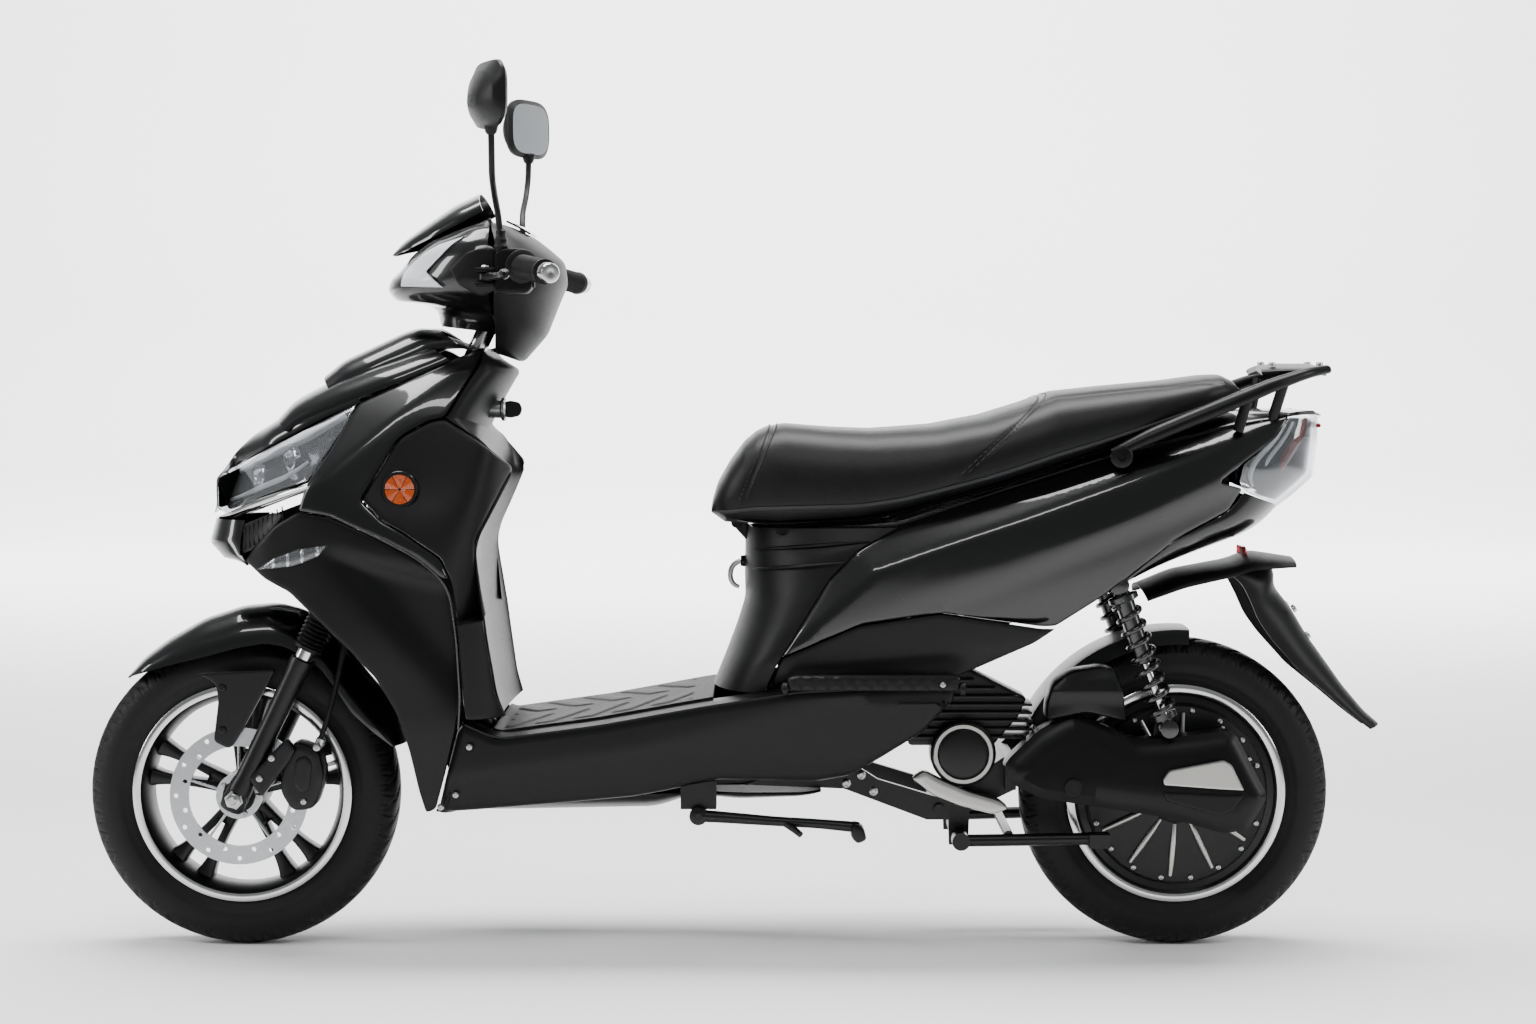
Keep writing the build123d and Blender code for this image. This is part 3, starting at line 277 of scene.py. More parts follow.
def beyond(x, z, start, end, slope, soft=5.0):
    """How far a surface falls on the left of the line from start to end."""
    dx, dz = end[0] - start[0], end[1] - start[1]
    length = math.hypot(dx, dz)
    away = ((x - start[0]) * -dz + (z - start[1]) * dx) / length
    return slope * soft * np.logaddexp(0.0, away / soft)


def resample(points, step):
    """Closed outline points at about one step apart, corners kept."""
    out = []
    count = len(points)
    for k in range(count):
        a, b = np.array(points[k], float), np.array(points[(k + 1) % count], float)
        parts = max(1, round(float(np.linalg.norm(b - a)) / step))
        out.extend(a + (b - a) * j / parts for j in range(parts))
    return np.array(out)


def rounded(points, radius):
    """A closed outline with each corner cut to a short curve."""
    out = []
    count = len(points)
    for k in range(count):
        before, here, after = (np.array(points[(k + j) % count], float) for j in (-1, 0, 1))
        back, on = before - here, after - here
        reach = min(radius, np.linalg.norm(back) * 0.4, np.linalg.norm(on) * 0.4)
        a = here + back / np.linalg.norm(back) * reach
        b = here + on / np.linalg.norm(on) * reach
        for t in (0.0, 0.25, 0.5, 0.75, 1.0):
            out.append((1 - t) ** 2 * a + 2 * t * (1 - t) * here + t * t * b)
    return out


def inside(points, outline):
    """Which points lie inside a closed outline."""
    x, z = points[:, 0], points[:, 1]
    hit = np.zeros(len(points), bool)
    j = len(outline) - 1
    for i in range(len(outline)):
        (xi, zi), (xj, zj) = outline[i], outline[j]
        if zi != zj:
            hit ^= ((zi > z) != (zj > z)) & (x < (xj - xi) * (z - zi) / (zj - zi) + xi)
        j = i
    return hit


def gap_to(points, outline):
    """The distance from each point to a closed outline."""
    best = np.full(len(points), 1e9)
    for k in range(len(outline)):
        a, b = outline[k], outline[(k + 1) % len(outline)]
        along = b - a
        t = np.clip(((points - a) @ along) / max(along @ along, 1e-9), 0, 1)
        best = np.minimum(best, np.linalg.norm(points - (a + t[:, None] * along), axis=1))
    return best


def skin(outline, width, step=8.0, edge=3.5, wall=3.0, corner=7.0, gap=0.8, chamfer=False):
    """A moulded panel seen from the side: outer face at -width(x, z), rolled edge and a wall.

    Gives (points, faces) for the left side.
    """
    border = resample(rounded(outline, corner), step * 0.75)
    ahead = np.roll(border, -1, 0) - np.roll(border, 1, 0)
    normal = np.stack([-ahead[:, 1], ahead[:, 0]], 1)
    normal /= np.linalg.norm(normal, axis=1)[:, None] + 1e-9
    if not inside(border + normal * 0.5, border).mean() > 0.5:
        normal = -normal
    border = border + normal * gap
    loose = []
    for depth in (edge * 0.35, edge, edge * 2.2):
        ring = border + normal * depth
        keep = inside(ring, border) & (gap_to(ring, border) > depth * 0.93)
        loose.append(ring[keep])
    low, high = border.min(0), border.max(0)
    grid = np.array([
        (x + (row % 2) * step / 2, z)
        for row, z in enumerate(np.arange(low[1], high[1], step * 0.87))
        for x in np.arange(low[0], high[0], step)
    ])
    keep = inside(grid, border)
    grid = grid[keep]
    grid = grid[gap_to(grid, border) > edge * 2.2 + step * 0.45]
    flat = np.vstack([border, *loose, grid])
    count = len(border)
    edges = [(k, (k + 1) % count) for k in range(count)]
    made = geometry.delaunay_2d_cdt([Vector(p) for p in flat], edges, [], 1, 1e-4)
    flat = np.array([tuple(p) for p in made[0]])
    faces = [tuple(f) for f in made[2]]
    away = gap_to(flat, border)
    roll = np.clip(edge - away, 0, edge)
    drop = roll * 0.7 if chamfer else edge - np.sqrt(np.clip(edge * edge - roll * roll, 0, None))
    outer = np.stack([flat[:, 0], -(width(flat[:, 0], flat[:, 1]) - drop), flat[:, 1]], 1)
    used = {}
    for face in faces:
        for a, b in zip(face, face[1:] + face[:1]):
            used[(a, b)] = used.get((a, b), 0) + 1
    rim = [(a, b) for a, b in used if (b, a) not in used]
    total = len(outer)
    inner = outer + np.array([0, wall, 0])
    points = np.vstack([outer, inner])
    faces = faces + [tuple(total + k for k in reversed(f)) for f in faces]
    faces += [(b, a, total + a, total + b) for a, b in rim]
    return points, faces


def spaced(points, count):
    """An open line given again with count evenly spaced points, its corners eased."""
    points = np.asarray(points, float)
    lengths = np.r_[0, np.cumsum(np.linalg.norm(np.diff(points, axis=0), axis=1))]
    even = np.linspace(0, lengths[-1], count)
    ease = lengths[-1] / count * 1.2
    out = np.zeros((count, points.shape[1]))
    for axis in range(points.shape[1]):
        shifted = [
            np.interp(np.clip(even + ease * k, 0, lengths[-1]), lengths, points[:, axis])
            for k in (-1, 0, 1)
        ]
        out[:, axis] = sum(shifted) / 3
    out[0], out[-1] = points[0], points[-1]
    return out


def grid_faces(rows, columns, closed=False):
    """Quads of a grid of points, row by row."""
    last = columns if closed else columns - 1
    return [
        (r * columns + c, r * columns + (c + 1) % columns, (r + 1) * columns + (c + 1) % columns,
         (r + 1) * columns + c)
        for r in range(rows - 1)
        for c in range(last)
    ]


def walled(points, rows, columns, wall):
    """An open grid made into a sheet: a second face behind it and a rim."""
    grid = np.asarray(points).reshape(rows, columns, 3)
    along = np.gradient(grid, axis=0)
    across = np.gradient(grid, axis=1)
    normal = np.cross(along, across)
    normal /= np.linalg.norm(normal, axis=2)[..., None] + 1e-12
    middle = grid.reshape(-1, 3).mean(0)
    if ((grid - middle) * normal).sum() < 0:
        normal = -normal
    back = grid - normal * wall
    faces = grid_faces(rows, columns)
    total = rows * columns
    faces += [tuple(total + k for k in reversed(f)) for f in grid_faces(rows, columns)]
    ring = list(range(columns))
    ring += [r * columns + columns - 1 for r in range(1, rows)]
    ring += [(rows - 1) * columns + c for c in range(columns - 2, -1, -1)]
    ring += [r * columns for r in range(rows - 2, 0, -1)]
    for here, after in zip(ring, ring[1:] + ring[:1]):
        faces.append((here, after, total + after, total + here))
    return np.vstack([grid.reshape(-1, 3), back.reshape(-1, 3)]), faces


def hood(centre, side, rows=36, across=15, wall=3.0, flat=0.0):
    """A shell from the middle line out to both sides, rounded like a bonnet.

    centre holds (x, z) and side holds (x, y, z), with y the distance from the middle.
    """
    middle = spaced(centre, rows)
    rim = spaced(side, rows)
    points = []
    for r in range(rows):
        for k in range(-across, across + 1):
            u = abs(k) / across
            turn = (1 - math.cos(u * math.pi / 2)) * (1 - flat) + flat * u
            x = middle[r, 0] + (rim[r, 0] - middle[r, 0]) * turn
            z = middle[r, 1] + (rim[r, 2] - middle[r, 1]) * turn
            y = rim[r, 1] * math.sin(u * math.pi / 2)
            points.append((x, math.copysign(y, k) if k else 0.0, z))
    return walled(points, rows, 2 * across + 1, wall)


def merged(*parts):
    """Several (points, faces) put in one."""
    points, faces, count = [], [], 0
    for part_points, part_faces in parts:
        points.append(np.asarray(part_points, float).reshape(-1, 3))
        faces += [tuple(count + k for k in face) for face in part_faces]
        count += len(points[-1])
    return np.vstack(points), faces


def around(base, direction, profile, steps=48):
    """A (distance along, radius) profile turned about a line."""
    base, axis = Vector(base), Vector(direction).normalized()
    first = axis.orthogonal().normalized()
    second = axis.cross(first)
    points = []
    for along, radius in profile:
        for k in range(steps):
            angle = 2 * math.pi * k / steps
            spot = base + axis * along + (first * math.cos(angle) + second * math.sin(angle)) * radius
            points.append(tuple(spot))
    return points, grid_faces(len(profile), steps, closed=True)


def capped(base, direction, profile, steps=48):
    """A turned solid whose ends close to a point on the line."""
    eased = [(profile[0][0], 0.0001), *profile, (profile[-1][0], 0.0001)]
    return around(base, direction, eased, steps)


def hose(points, radius, steps=14, spacing=6.0, flat=1.0):
    """A round tube along a line of points, with closed ends; radius may be a list."""
    points = np.asarray(points, float)
    total = np.linalg.norm(np.diff(points, axis=0), axis=1).sum()
    count = max(6, int(total / spacing))
    for _ in range(3):
        points = spaced(points, count)
    radius = np.atleast_1d(radius)
    radii = np.interp(np.linspace(0, 1, count), np.linspace(0, 1, len(radius)), radius)
    out = []
    side = None
    for k in range(count):
        ahead = Vector(points[min(k + 1, count - 1)] - points[max(k - 1, 0)]).normalized()
        if side is None:
            side = ahead.orthogonal().normalized()
        side = (side - ahead * side.dot(ahead)).normalized()
        other = ahead.cross(side)
        ring = []
        for j in range(steps):
            angle = 2 * math.pi * j / steps
            spot = side * math.cos(angle) * radii[k] + other * math.sin(angle) * radii[k] * flat
            ring.append(tuple(Vector(points[k]) + spot))
        out.extend(ring)
    faces = grid_faces(count, steps, closed=True)
    faces.append(tuple(reversed(range(steps))))
    faces.append(tuple((count - 1) * steps + j for j in range(steps)))
    return out, faces


def mirrored(part):
    """The part with its copy on the other side."""
    points, faces = part
    points = np.asarray(points, float).reshape(-1, 3)
    other = points * np.array([1, -1, 1])
    return merged((points, faces), (other, [tuple(reversed(face)) for face in faces]))


def on_leg(height, y=0.0):
    """A point on the fork's line, that far above the front axle."""
    return (FRONT_AXLE[0] + math.sin(RAKE) * height, y, FRONT_AXLE[2] + math.cos(RAKE) * height)


def about(middle, radius, angle, y):
    """A point on a circle seen from the side, at y across."""
    return (middle[0] + radius * math.cos(angle), y, middle[2] + radius * math.sin(angle))


# Body outlines, side view, millimetres
FAIRING_SIDE = [
    (-362, 893), (-370, 865), (-394, 822), (-413, 790), (-435, 786), (-465, 770), (-480, 759),
    (-508, 711), (-530, 674), (-500, 644), (-470, 628), (-417, 592), (-403, 560), (-416, 563),
    (-449, 592), (-500, 618), (-575, 650), (-622, 657), (-611, 695), (-579, 744), (-544, 811),
    (-479, 841), (-423, 868),
]
SHIELD_SIDE = [
    (-413, 790), (-360, 754), (-324, 721), (-322, 714), (-370, 616), (-371, 584), (-342, 392),
    (-329, 358), (-384, 357), (-388, 390), (-394, 475), (-403, 560), (-417, 592), (-470, 628),
    (-500, 644), (-530, 674), (-508, 711), (-480, 759), (-465, 770), (-435, 786),
]
COWL_SIDE = [
    (-707, 583), (-690, 606), (-659, 636), (-622, 657), (-575, 650), (-500, 618), (-449, 592),
    (-416, 563), (-405, 540), (-394, 475), (-391, 388), (-398, 344), (-413, 285), (-430, 225),
    (-445, 219), (-454, 251), (-467, 317), (-483, 368), (-512, 419), (-545, 455), (-614, 519),
    (-637, 540), (-675, 558),
]
PANEL_SIDE = [
    (66, 443), (94, 489), (137, 558), (180, 601), (237, 634), (384, 683), (541, 732), (660, 762),
    (808, 793), (787, 759), (700, 697), (738, 687), (717, 655), (638, 615), (539, 536), (464, 488),
    (442, 488), (295, 510), (180, 493),
]
TRIM_SIDE = [
    (66, 443), (180, 493), (295, 510), (442, 488), (464, 488), (432, 466), (324, 416), (238, 409),
    (167, 408), (80, 406), (49, 396),
]
SKIRT_SIDE = [
    (-390, 350), (-341, 330), (-193, 350), (-49, 376), (94, 398), (231, 404), (320, 406), (316, 382),
    (274, 335), (209, 295), (168, 270), (118, 261), (-21, 266), (-115, 246), (-150, 240), (-431, 216),
    (-399, 340),
]
MOTOR_COVER_SIDE = [
    (390, 282), (398, 296), (442, 337), (477, 357), (492, 362), (506, 357), (583, 323), (629, 325),
    (716, 336), (730, 328), (774, 241), (746, 192), (710, 186), (630, 209), (442, 238), (399, 260),
]

# Half widths, (height or length along, half width)
NOSE_UP = [
    (205, 152), (285, 168), (345, 182), (400, 186), (475, 195), (545, 201), (590, 201), (640, 195),
    (700, 176), (770, 158), (810, 146), (860, 118), (893, 84), (925, 60),
]
NOSE_ALONG = [
    (-785, 28), (-762, 62), (-715, 122), (-680, 150), (-610, 176), (-520, 198), (-440, 205),
    (-360, 180), (-310, 120),
]
TAIL_UP = [
    (380, 150), (443, 158), (490, 166), (560, 173), (620, 168), (680, 152), (735, 134), (770, 112),
    (802, 86),
]
TAIL_ALONG = [
    (-40, 96), (20, 116), (66, 150), (150, 164), (300, 173), (450, 172), (600, 156), (700, 132),
    (800, 96), (870, 58),
]


def front_width(x, z):
    """The front body's half width, with the folds of its fairings."""
    wide = soft_min(curve_at(NOSE_UP, z), curve_at(NOSE_ALONG, x))
    wide = wide - beyond(x, z, (-593, 701), (-371, 887), 0.85, 4.0)
    return wide


def fairing_width(x, z):
    """The gloss fairing: proud of the shield, with its long highlight fold."""
    return front_width(x, z) + 3.0


def shield_width(x, z):
    """The side of the leg shield, waisted round the reflector."""
    wide = front_width(x, z) - 1.0
    hollow = np.exp(-(((x + 440) / 60) ** 2) - ((z - 690) / 70) ** 2)
    rear = beyond(x, z, (-345, 760), (-405, 560), 0.9, 8.0)
    return wide - 6.0 * hollow - rear * (z > 500)


def cowl_width(x, z):
    """The satin cowl under the fairing, with a scooped hollow below its top flange."""
    wide = soft_min(curve_at(NOSE_UP, z), curve_at(NOSE_ALONG, x))
    below = 1 / (1 + np.exp(((z - 586) + (x + 530) * 0.24) / 5.0))
    above = 1 / (1 + np.exp(-((z - 520) + (x + 500) * 1.15) / 16.0))
    ahead = 1 / (1 + np.exp(-(x + 610) / 14.0))
    return wide - 17.0 * below * above * ahead


def tail_width(x, z):
    """The seat body's half width with the sharp crease along the gloss panels."""
    wide = soft_min(curve_at(TAIL_UP, z), curve_at(TAIL_ALONG, x))
    shoulder = beyond(x, z, (180, 562), (560, 700), 0.8, 2.5)
    leading = beyond(x, z, (52, 432), (215, 580), 0.7, 2.5)
    tuck = beyond(x, z, (690, 690), (379, 556), 0.32, 3.0)
    hollow = 5.0 * np.exp(-(((z - 560) - (x - 420) * 0.38) / 22.0) ** 2) * (x > 120)
    return wide - np.maximum(shoulder, leading) - tuck * (x > 300) - hollow + 4.0


def trim_width(x, z):
    """The lower trim: tucked in under the gloss panel."""
    wide = soft_min(curve_at(TAIL_UP, z), curve_at(TAIL_ALONG, x))
    return wide - 3.0 - beyond(x, z, (464, 470), (60, 425), 0.35, 4.0)


def skirt_width(x, z):
    """The floor skirt: a long fold with a tucked-in lower half."""
    wide = curve_at([(-440, 152), (-380, 163), (-250, 170), (200, 170), (330, 158)], x)
    low_fold = beyond(x, z, (138, 352), (-164, 307), 0.42, 4.0)
    front_fold = beyond(x, z, (-164, 307), (-428, 235), 0.25, 4.0)
    return wide - np.maximum(low_fold, front_fold) * (z < 380)


def level(width):
    """A flat side, at one distance from the middle."""
    return lambda x, z: width + 0 * x


def pair(name, outline, width, material, body, slot, nodes, **shape):
    """Left and right moulded panels as one named piece."""
    return piece(name, *mirrored(skin(outline, width, **shape)), material, body, slot, nodes)


def side_points(line, width, out=0.0):
    """(x, z) points of the left side given their distance from the middle."""
    return [(x, float(width(np.array([x]), np.array([z]))[0]) + out, z) for x, z in line]


def left_line(line, width, out=0.0):
    """(x, z) points laid on the left side of a width."""
    return [(x, -y, z) for x, y, z in side_points(line, width, out)]


def front_shells():
    """Fairings, cowls, leg shield, bonnet blades and chin."""
    pair("fairing_panels", FAIRING_SIDE, fairing_width, gloss_paint, "chassis", "gloss_black",
         ["front_fairings"])
    pair("cowl_panels", COWL_SIDE, cowl_width, satin_plastic, "chassis", "satin_plastic", ["front_cowls"])
    shield = mirrored(skin(SHIELD_SIDE, shield_width))
    rear_edge = [
        (-413, 790), (-360, 754), (-325, 720), (-322, 714), (-345, 666), (-370, 616), (-371, 584),
        (-356, 485), (-342, 392), (-331, 360),
    ]
    inner_line = [
        (-378, 800), (-362, 752), (-352, 722), (-352, 700), (-366, 650), (-380, 612), (-382, 584),
        (-370, 480), (-356, 392), (-346, 352),
    ]
    wall_rear = hood(inner_line, side_points(rear_edge, shield_width, -2.5), rows=60, flat=0.15)
    deck_line = [(-446, 914), (-400, 898), (-350, 874), (-318, 857), (-330, 838), (-352, 800), (-366, 770)]
    deck_side = [(-436, 888), (-395, 890), (-362, 888), (-366, 866), (-384, 836), (-398, 812), (-410, 790)]
    deck = hood(deck_line, side_points(deck_side, front_width, 0.0), rows=40, flat=0.1)
    bulkhead = hood([(-386, 354), (-390, 300), (-395, 250), (-397, 208)],
                    [(-390, 148, 352), (-398, 152, 290), (-414, 150, 240), (-428, 142, 220)], rows=24,
                    flat=0.6)
    piece("leg_shield_shell", *merged(shield, wall_rear, deck, bulkhead), matt_plastic, "chassis",
          "satin_plastic", ["leg_shield"])
    low = hood(
        [(-764, 704), (-743, 736), (-718, 760), (-667, 792), (-628, 808), (-570, 832)],
        side_points([(-762, 703), (-742, 716), (-682, 746), (-625, 774), (-585, 794), (-540, 812)],
                    front_width, 2.0),
        flat=0.1,
    )
    middle = hood(
        [(-674, 789), (-655, 811), (-637, 822), (-592, 845), (-540, 866), (-450, 896)],
        side_points([(-652, 768), (-634, 782), (-600, 796), (-550, 815), (-490, 838), (-412, 872)],
                    front_width, 7.0),
        flat=0.1,
    )
    top = hood(
        [(-608, 849), (-580, 872), (-528, 896), (-491, 913), (-470, 920), (-437, 919)],
        side_points([(-590, 824), (-570, 836), (-530, 852), (-490, 868), (-450, 884), (-405, 896)],
                    front_width, 4.0),
        flat=0.1,
    )
    chin = hood(
        [(-771, 640), (-781, 603), (-757, 579), (-706, 574)],
        side_points([(-712, 640), (-716, 615), (-716, 592), (-703, 576)], front_width, 0.0),
        flat=0.1,
    )
    piece("nose_blades", *merged(low, middle, top, chin), gloss_paint, "chassis", "gloss_black",
          ["nose_cover"])
    edging = mirrored(hose(
        left_line([(-572, 652), (-500, 619), (-450, 593), (-417, 565), (-403, 540), (-395, 475),
                   (-391, 388), (-394, 345)], fairing_width, -0.3), 1.5, 10,
    ))
    piece("seam_piping", *edging, spring_enamel, "chassis", "gloss_black")
    intake = [(-745, 580), (-752, 612), (-716, 634), (-662, 655), (-644, 652), (-668, 622), (-700, 596)]
    mesh_panel = skin(intake, lambda x, z: front_width(x, z) - 7.0, wall=2.0, edge=1.0)
    bars = []
    for k in range(14):
        start, end = (-748 + k * 8, 584 + k * 3.2), (-738 + k * 8 - 14, 600 + k * 4.4 + 6)
        bars.append(hose(left_line([start, end], front_width, -5.0), 1.2, 6))
    piece("chin_grille", *mirrored(merged(mesh_panel, *bars)), matt_plastic, "chassis", "satin_plastic")


def headlamp():
    """The lens, the bright bowl with its projectors and the light guide over them."""
    lens_side = [
        (-766, 700), (-752, 712), (-684, 743), (-628, 770), (-545, 811), (-560, 778), (-597, 715),
        (-611, 698), (-640, 690), (-681, 676), (-722, 656), (-752, 640), (-770, 650),
    ]
    side = skin(lens_side, lambda x, z: front_width(x, z) + 1.5, wall=2.0)
    front = hood(
        [(-764, 702), (-766, 690), (-771, 665), (-776, 645)],
        side_points([(-764, 700), (-767, 690), (-769, 668), (-766, 650)], front_width, 1.0),
        rows=16, wall=2.0,
    )
    piece("headlamp_lens", *merged(mirrored(side), front), clear_lens, "chassis", "clear_lens",
          ["headlight_lens"])

    def deep(depth):
        return lambda x, z: front_width(x, z) - depth - 10.0 * np.abs(np.sin((x + z * 0.6) / 14.0))

    bowl = [
        (-762, 696), (-690, 726), (-628, 755), (-562, 788), (-575, 762), (-604, 714), (-616, 697),
        (-681, 684), (-728, 664), (-764, 652),
    ]
    piece("headlamp_bowl", *mirrored(skin(bowl, deep(16.0), step=5.0)), dark_chrome, "chassis",
          "lamp_reflector",
          ["headlight_housing"])
    back = [(-752, 648), (-760, 700), (-684, 738), (-550, 804), (-600, 706), (-690, 668)]
    piece("headlamp_back", *mirrored(skin(back, lambda x, z: front_width(x, z) - 34.0)), satin_plastic,
          "chassis", "satin_plastic")
    for k, (x, z, radius) in enumerate([(-690, 702, 17), (-640, 728, 20)]):
        y = float(front_width(np.array([x]), np.array([z]))[0])
        ring = capped((x, -(y - 26), z), (-0.75, -0.6, 0.1),
                      [(0, radius), (8, radius), (9, radius - 2), (3, radius - 5), (3, 2)], 40)
        piece(f"projector_ring_{k + 1}", *mirrored(ring), lamp_chrome, "chassis", "lamp_reflector")
        eye = capped((x, -(y - 28), z), (-0.75, -0.6, 0.1),
                     [(0, radius - 5), (8, radius - 6), (12, radius - 9), (14, 3)], 32)
        piece(f"projector_eye_{k + 1}", *mirrored(eye), clear_lens, "chassis", "clear_lens")
    guide = left_line([(-756, 697), (-722, 713), (-682, 732), (-628, 758), (-562, 791)], front_width, -5.0)
    low_guide = left_line([(-752, 664), (-722, 673), (-684, 689), (-640, 706), (-612, 726)], front_width,
                          -5.0)
    lines = merged(hose(guide, [3, 5, 7, 9, 4], 14), hose(low_guide, [2, 3, 4, 4, 2], 12))
    piece("daylight_guide", *mirrored(lines), light_guide, "chassis", "lamp_reflector")
    blade = left_line([(-758, 640), (-735, 646), (-690, 665), (-640, 682), (-606, 692)], front_width, 1.0)
    piece("chin_blade", *mirrored(hose(blade, [4, 6, 6.5, 6, 3], 14)), polished_alloy, "chassis",
          "lamp_reflector")
    signal = [(-690, 570), (-664, 588), (-621, 604), (-576, 611), (-592, 592), (-630, 577)]
    cover = skin(signal, lambda x, z: cowl_width(x, z) + 5.0, wall=2.0, edge=4.0)
    piece("signal_lenses", *mirrored(cover), clear_lens, "chassis", "clear_lens", ["front_indicators"])
    cells = skin(signal, lambda x, z: cowl_width(x, z) + 1.0 - 3.0 * np.abs(np.sin(x / 7.0)), wall=1.5,
                 step=3.0)
    piece("signal_cells", *mirrored(cells), lamp_chrome, "chassis", "lamp_reflector")


def side_reflectors():
    """Round amber reflectors with pressed wedges, and the red one at the back."""
    y = float(shield_width(np.array([-475.0]), np.array([689.0]))[0])
    ring = capped((-475, -y + 3, 689), (0, -1, 0.0),
                  [(0, 27), (9, 27), (11, 25.5), (11, 22), (9.5, 21.5), (9.5, 2)], 72)
    piece("reflector_rims", *mirrored(ring), gloss_paint, "chassis", "amber_reflector")
    points, faces = [], []
    for k in range(6):
        for j in range(9):
            for r in range(5):
                angle = math.radians(60 * k + 2 + 56 * j / 8)
                radius = 2 + 19 * r / 4
                lift = 10.2 + 1.6 * (1 - abs(j / 4 - 1)) * (0.4 + r / 6)
                points.append((-475 + radius * math.cos(angle), -y + 2.4 - lift,
                               689 + radius * math.sin(angle)))
        base = k * 45
        faces += [(base + j * 5 + r, base + j * 5 + r + 1, base + j * 5 + r + 6, base + j * 5 + r + 5)
                  for j in range(8) for r in range(4)]
    piece("reflector_wedges", *mirrored((points, faces)), amber_lens, "chassis", "amber_reflector",
          ["reflectors"])
    red = []
    for width, depth in ((25, 752), (25, 757), (22, 759.5), (2, 759.5)):
        corner = rounded([(-width, 566 + 25 - width), (width, 566 + 25 - width), (width, 596 - 25 + width),
                          (-width, 596 - 25 + width)], 5)
        red += [(depth, p[0], p[1]) for p in corner]
    piece("rear_reflector", red, grid_faces(4, 20, closed=True), red_lens, "chassis", "red_lens")


def tail_shells():
    """Gloss tail panels, lower trims, under-seat front, tail cover and tail lamp."""
    pair("tail_side_panels", PANEL_SIDE, tail_width, gloss_paint, "chassis", "gloss_black", ["tail_panels"])
    trims = mirrored(skin(TRIM_SIDE, trim_width))
    front_line = [(14, 626), (15, 600), (14, 560), (15, 521), (4, 485), (-12, 442), (-32, 392)]
    front_side = [(236, 631), (180, 601), (137, 558), (94, 489), (66, 443), (50, 410), (44, 392)]
    front = hood(front_line, side_points(front_side, tail_width, -2.0), rows=50, across=24, flat=0.05)
    ribs = []
    for z_front, z_rear, x_rear in ((588, 612, 196), (560, 582, 160)):
        line = []
        for k in range(12):
            u = k / 11
            wide = 0.25 + 0.75 * u
            x = 14 + (x_rear - 14) * (1 - math.cos(wide * math.pi / 2))
            y = float(tail_width(np.array([x_rear]), np.array([z_rear]))[0]) * math.sin(wide * math.pi / 2)
            line.append((x, -y - 1, z_front + (z_rear - z_front) * wide))
        ribs.append(hose(line, [1, 3, 3, 1], 10, flat=0.6))
    lugs = []
    for x in (73, 327):
        lugs.append(capped((x - 4, -184, 404), (1, 0, 0), [(0, 8), (1, 9), (7, 9), (8, 8)], 24))
        lugs.append(hose([(x, -160, 404), (x, -184, 404)], 6, 12))
    piece("seat_body_lower", *merged(trims, front, mirrored(merged(*ribs, *lugs))), matt_plastic, "chassis",
          "satin_plastic", ["seat_body_trims"])
    rim_line = spaced([(60, 622), (237, 632), (384, 681), (541, 730), (660, 760)], 50)
    ledge = []
    for x, z in rim_line:
        wide = float(tail_width(np.array([x]), np.array([z]))[0]) - 1
        for k in range(6):
            ledge.append((x, -(wide + (92 - wide) * k / 5), z + 1))
    piece("seat_well_ledges", *mirrored(walled(ledge, 50, 6, 3.0)), satin_plastic, "chassis",
          "satin_plastic")
    top = hood(
        [(640, 772), (690, 786), (737, 800), (800, 801), (853, 799), (868, 790)],
        side_points([(600, 744), (660, 760), (700, 770), (760, 783), (808, 793), (842, 798)], tail_width,
                    0.0),
        rows=30, flat=0.1,
    )
    under = hood(
        [(806, 655), (784, 632), (756, 614), (627, 568), (541, 533)],
        side_points([(740, 680), (717, 653), (690, 640), (638, 613), (541, 537)], tail_width, -2.0),
        rows=30, flat=0.2,
    )
    piece("tail_top_cover", *merged(top, under), gloss_paint, "chassis", "gloss_black", ["tail_cover"])
    lamp = hood(
        [(864, 788), (864, 755), (858, 700), (832, 676), (806, 656)],
        side_points([(806, 789), (788, 760), (735, 722), (730, 694), (742, 682)], tail_width, 1.5),
        rows=44, across=26, flat=0.0,
    )
    piece("tail_lamp_cover", *lamp, clear_lens, "chassis", "red_lens", ["tail_light"])
    cells = hood(
        [(854, 784), (854, 755), (848, 704), (824, 682), (802, 664)],
        side_points([(804, 783), (786, 757), (742, 722), (738, 698), (748, 688)], tail_width, -9.0),
        rows=44, across=26,
    )
    piece("tail_lamp_cells", *cells, dark_chrome, "chassis", "lamp_reflector")
    rear_edge = left_line([(800, 779), (784, 756), (750, 724), (744, 704), (752, 690)], tail_width, -4.0)
    front_edge = left_line([(812, 782), (800, 760), (770, 725), (762, 705), (764, 690)], tail_width, -4.0)
    lit = merged(hose(rear_edge, [2, 3.5, 4, 4, 2], 14), hose(front_edge, [2, 3, 3, 3, 2], 14))
    piece("tail_lamp_guides", *mirrored(lit), light_guide, "chassis", "lamp_reflector")
    upright = left_line([(832, 788), (824, 764), (800, 730), (790, 706), (780, 690)], tail_width, -1.0)
    stripes = mirrored(hose(upright, [3, 8, 9, 8, 3], 14, flat=0.5))
    back_bar = hose([(863 - abs(y) * 0.08, y, 776) for y in (-44, -22, 0, 22, 44)], [3, 5, 5, 5, 3], 14)
    piece("tail_lamp_stripes", *merged(stripes, back_bar), red_lens, "chassis", "red_lens")


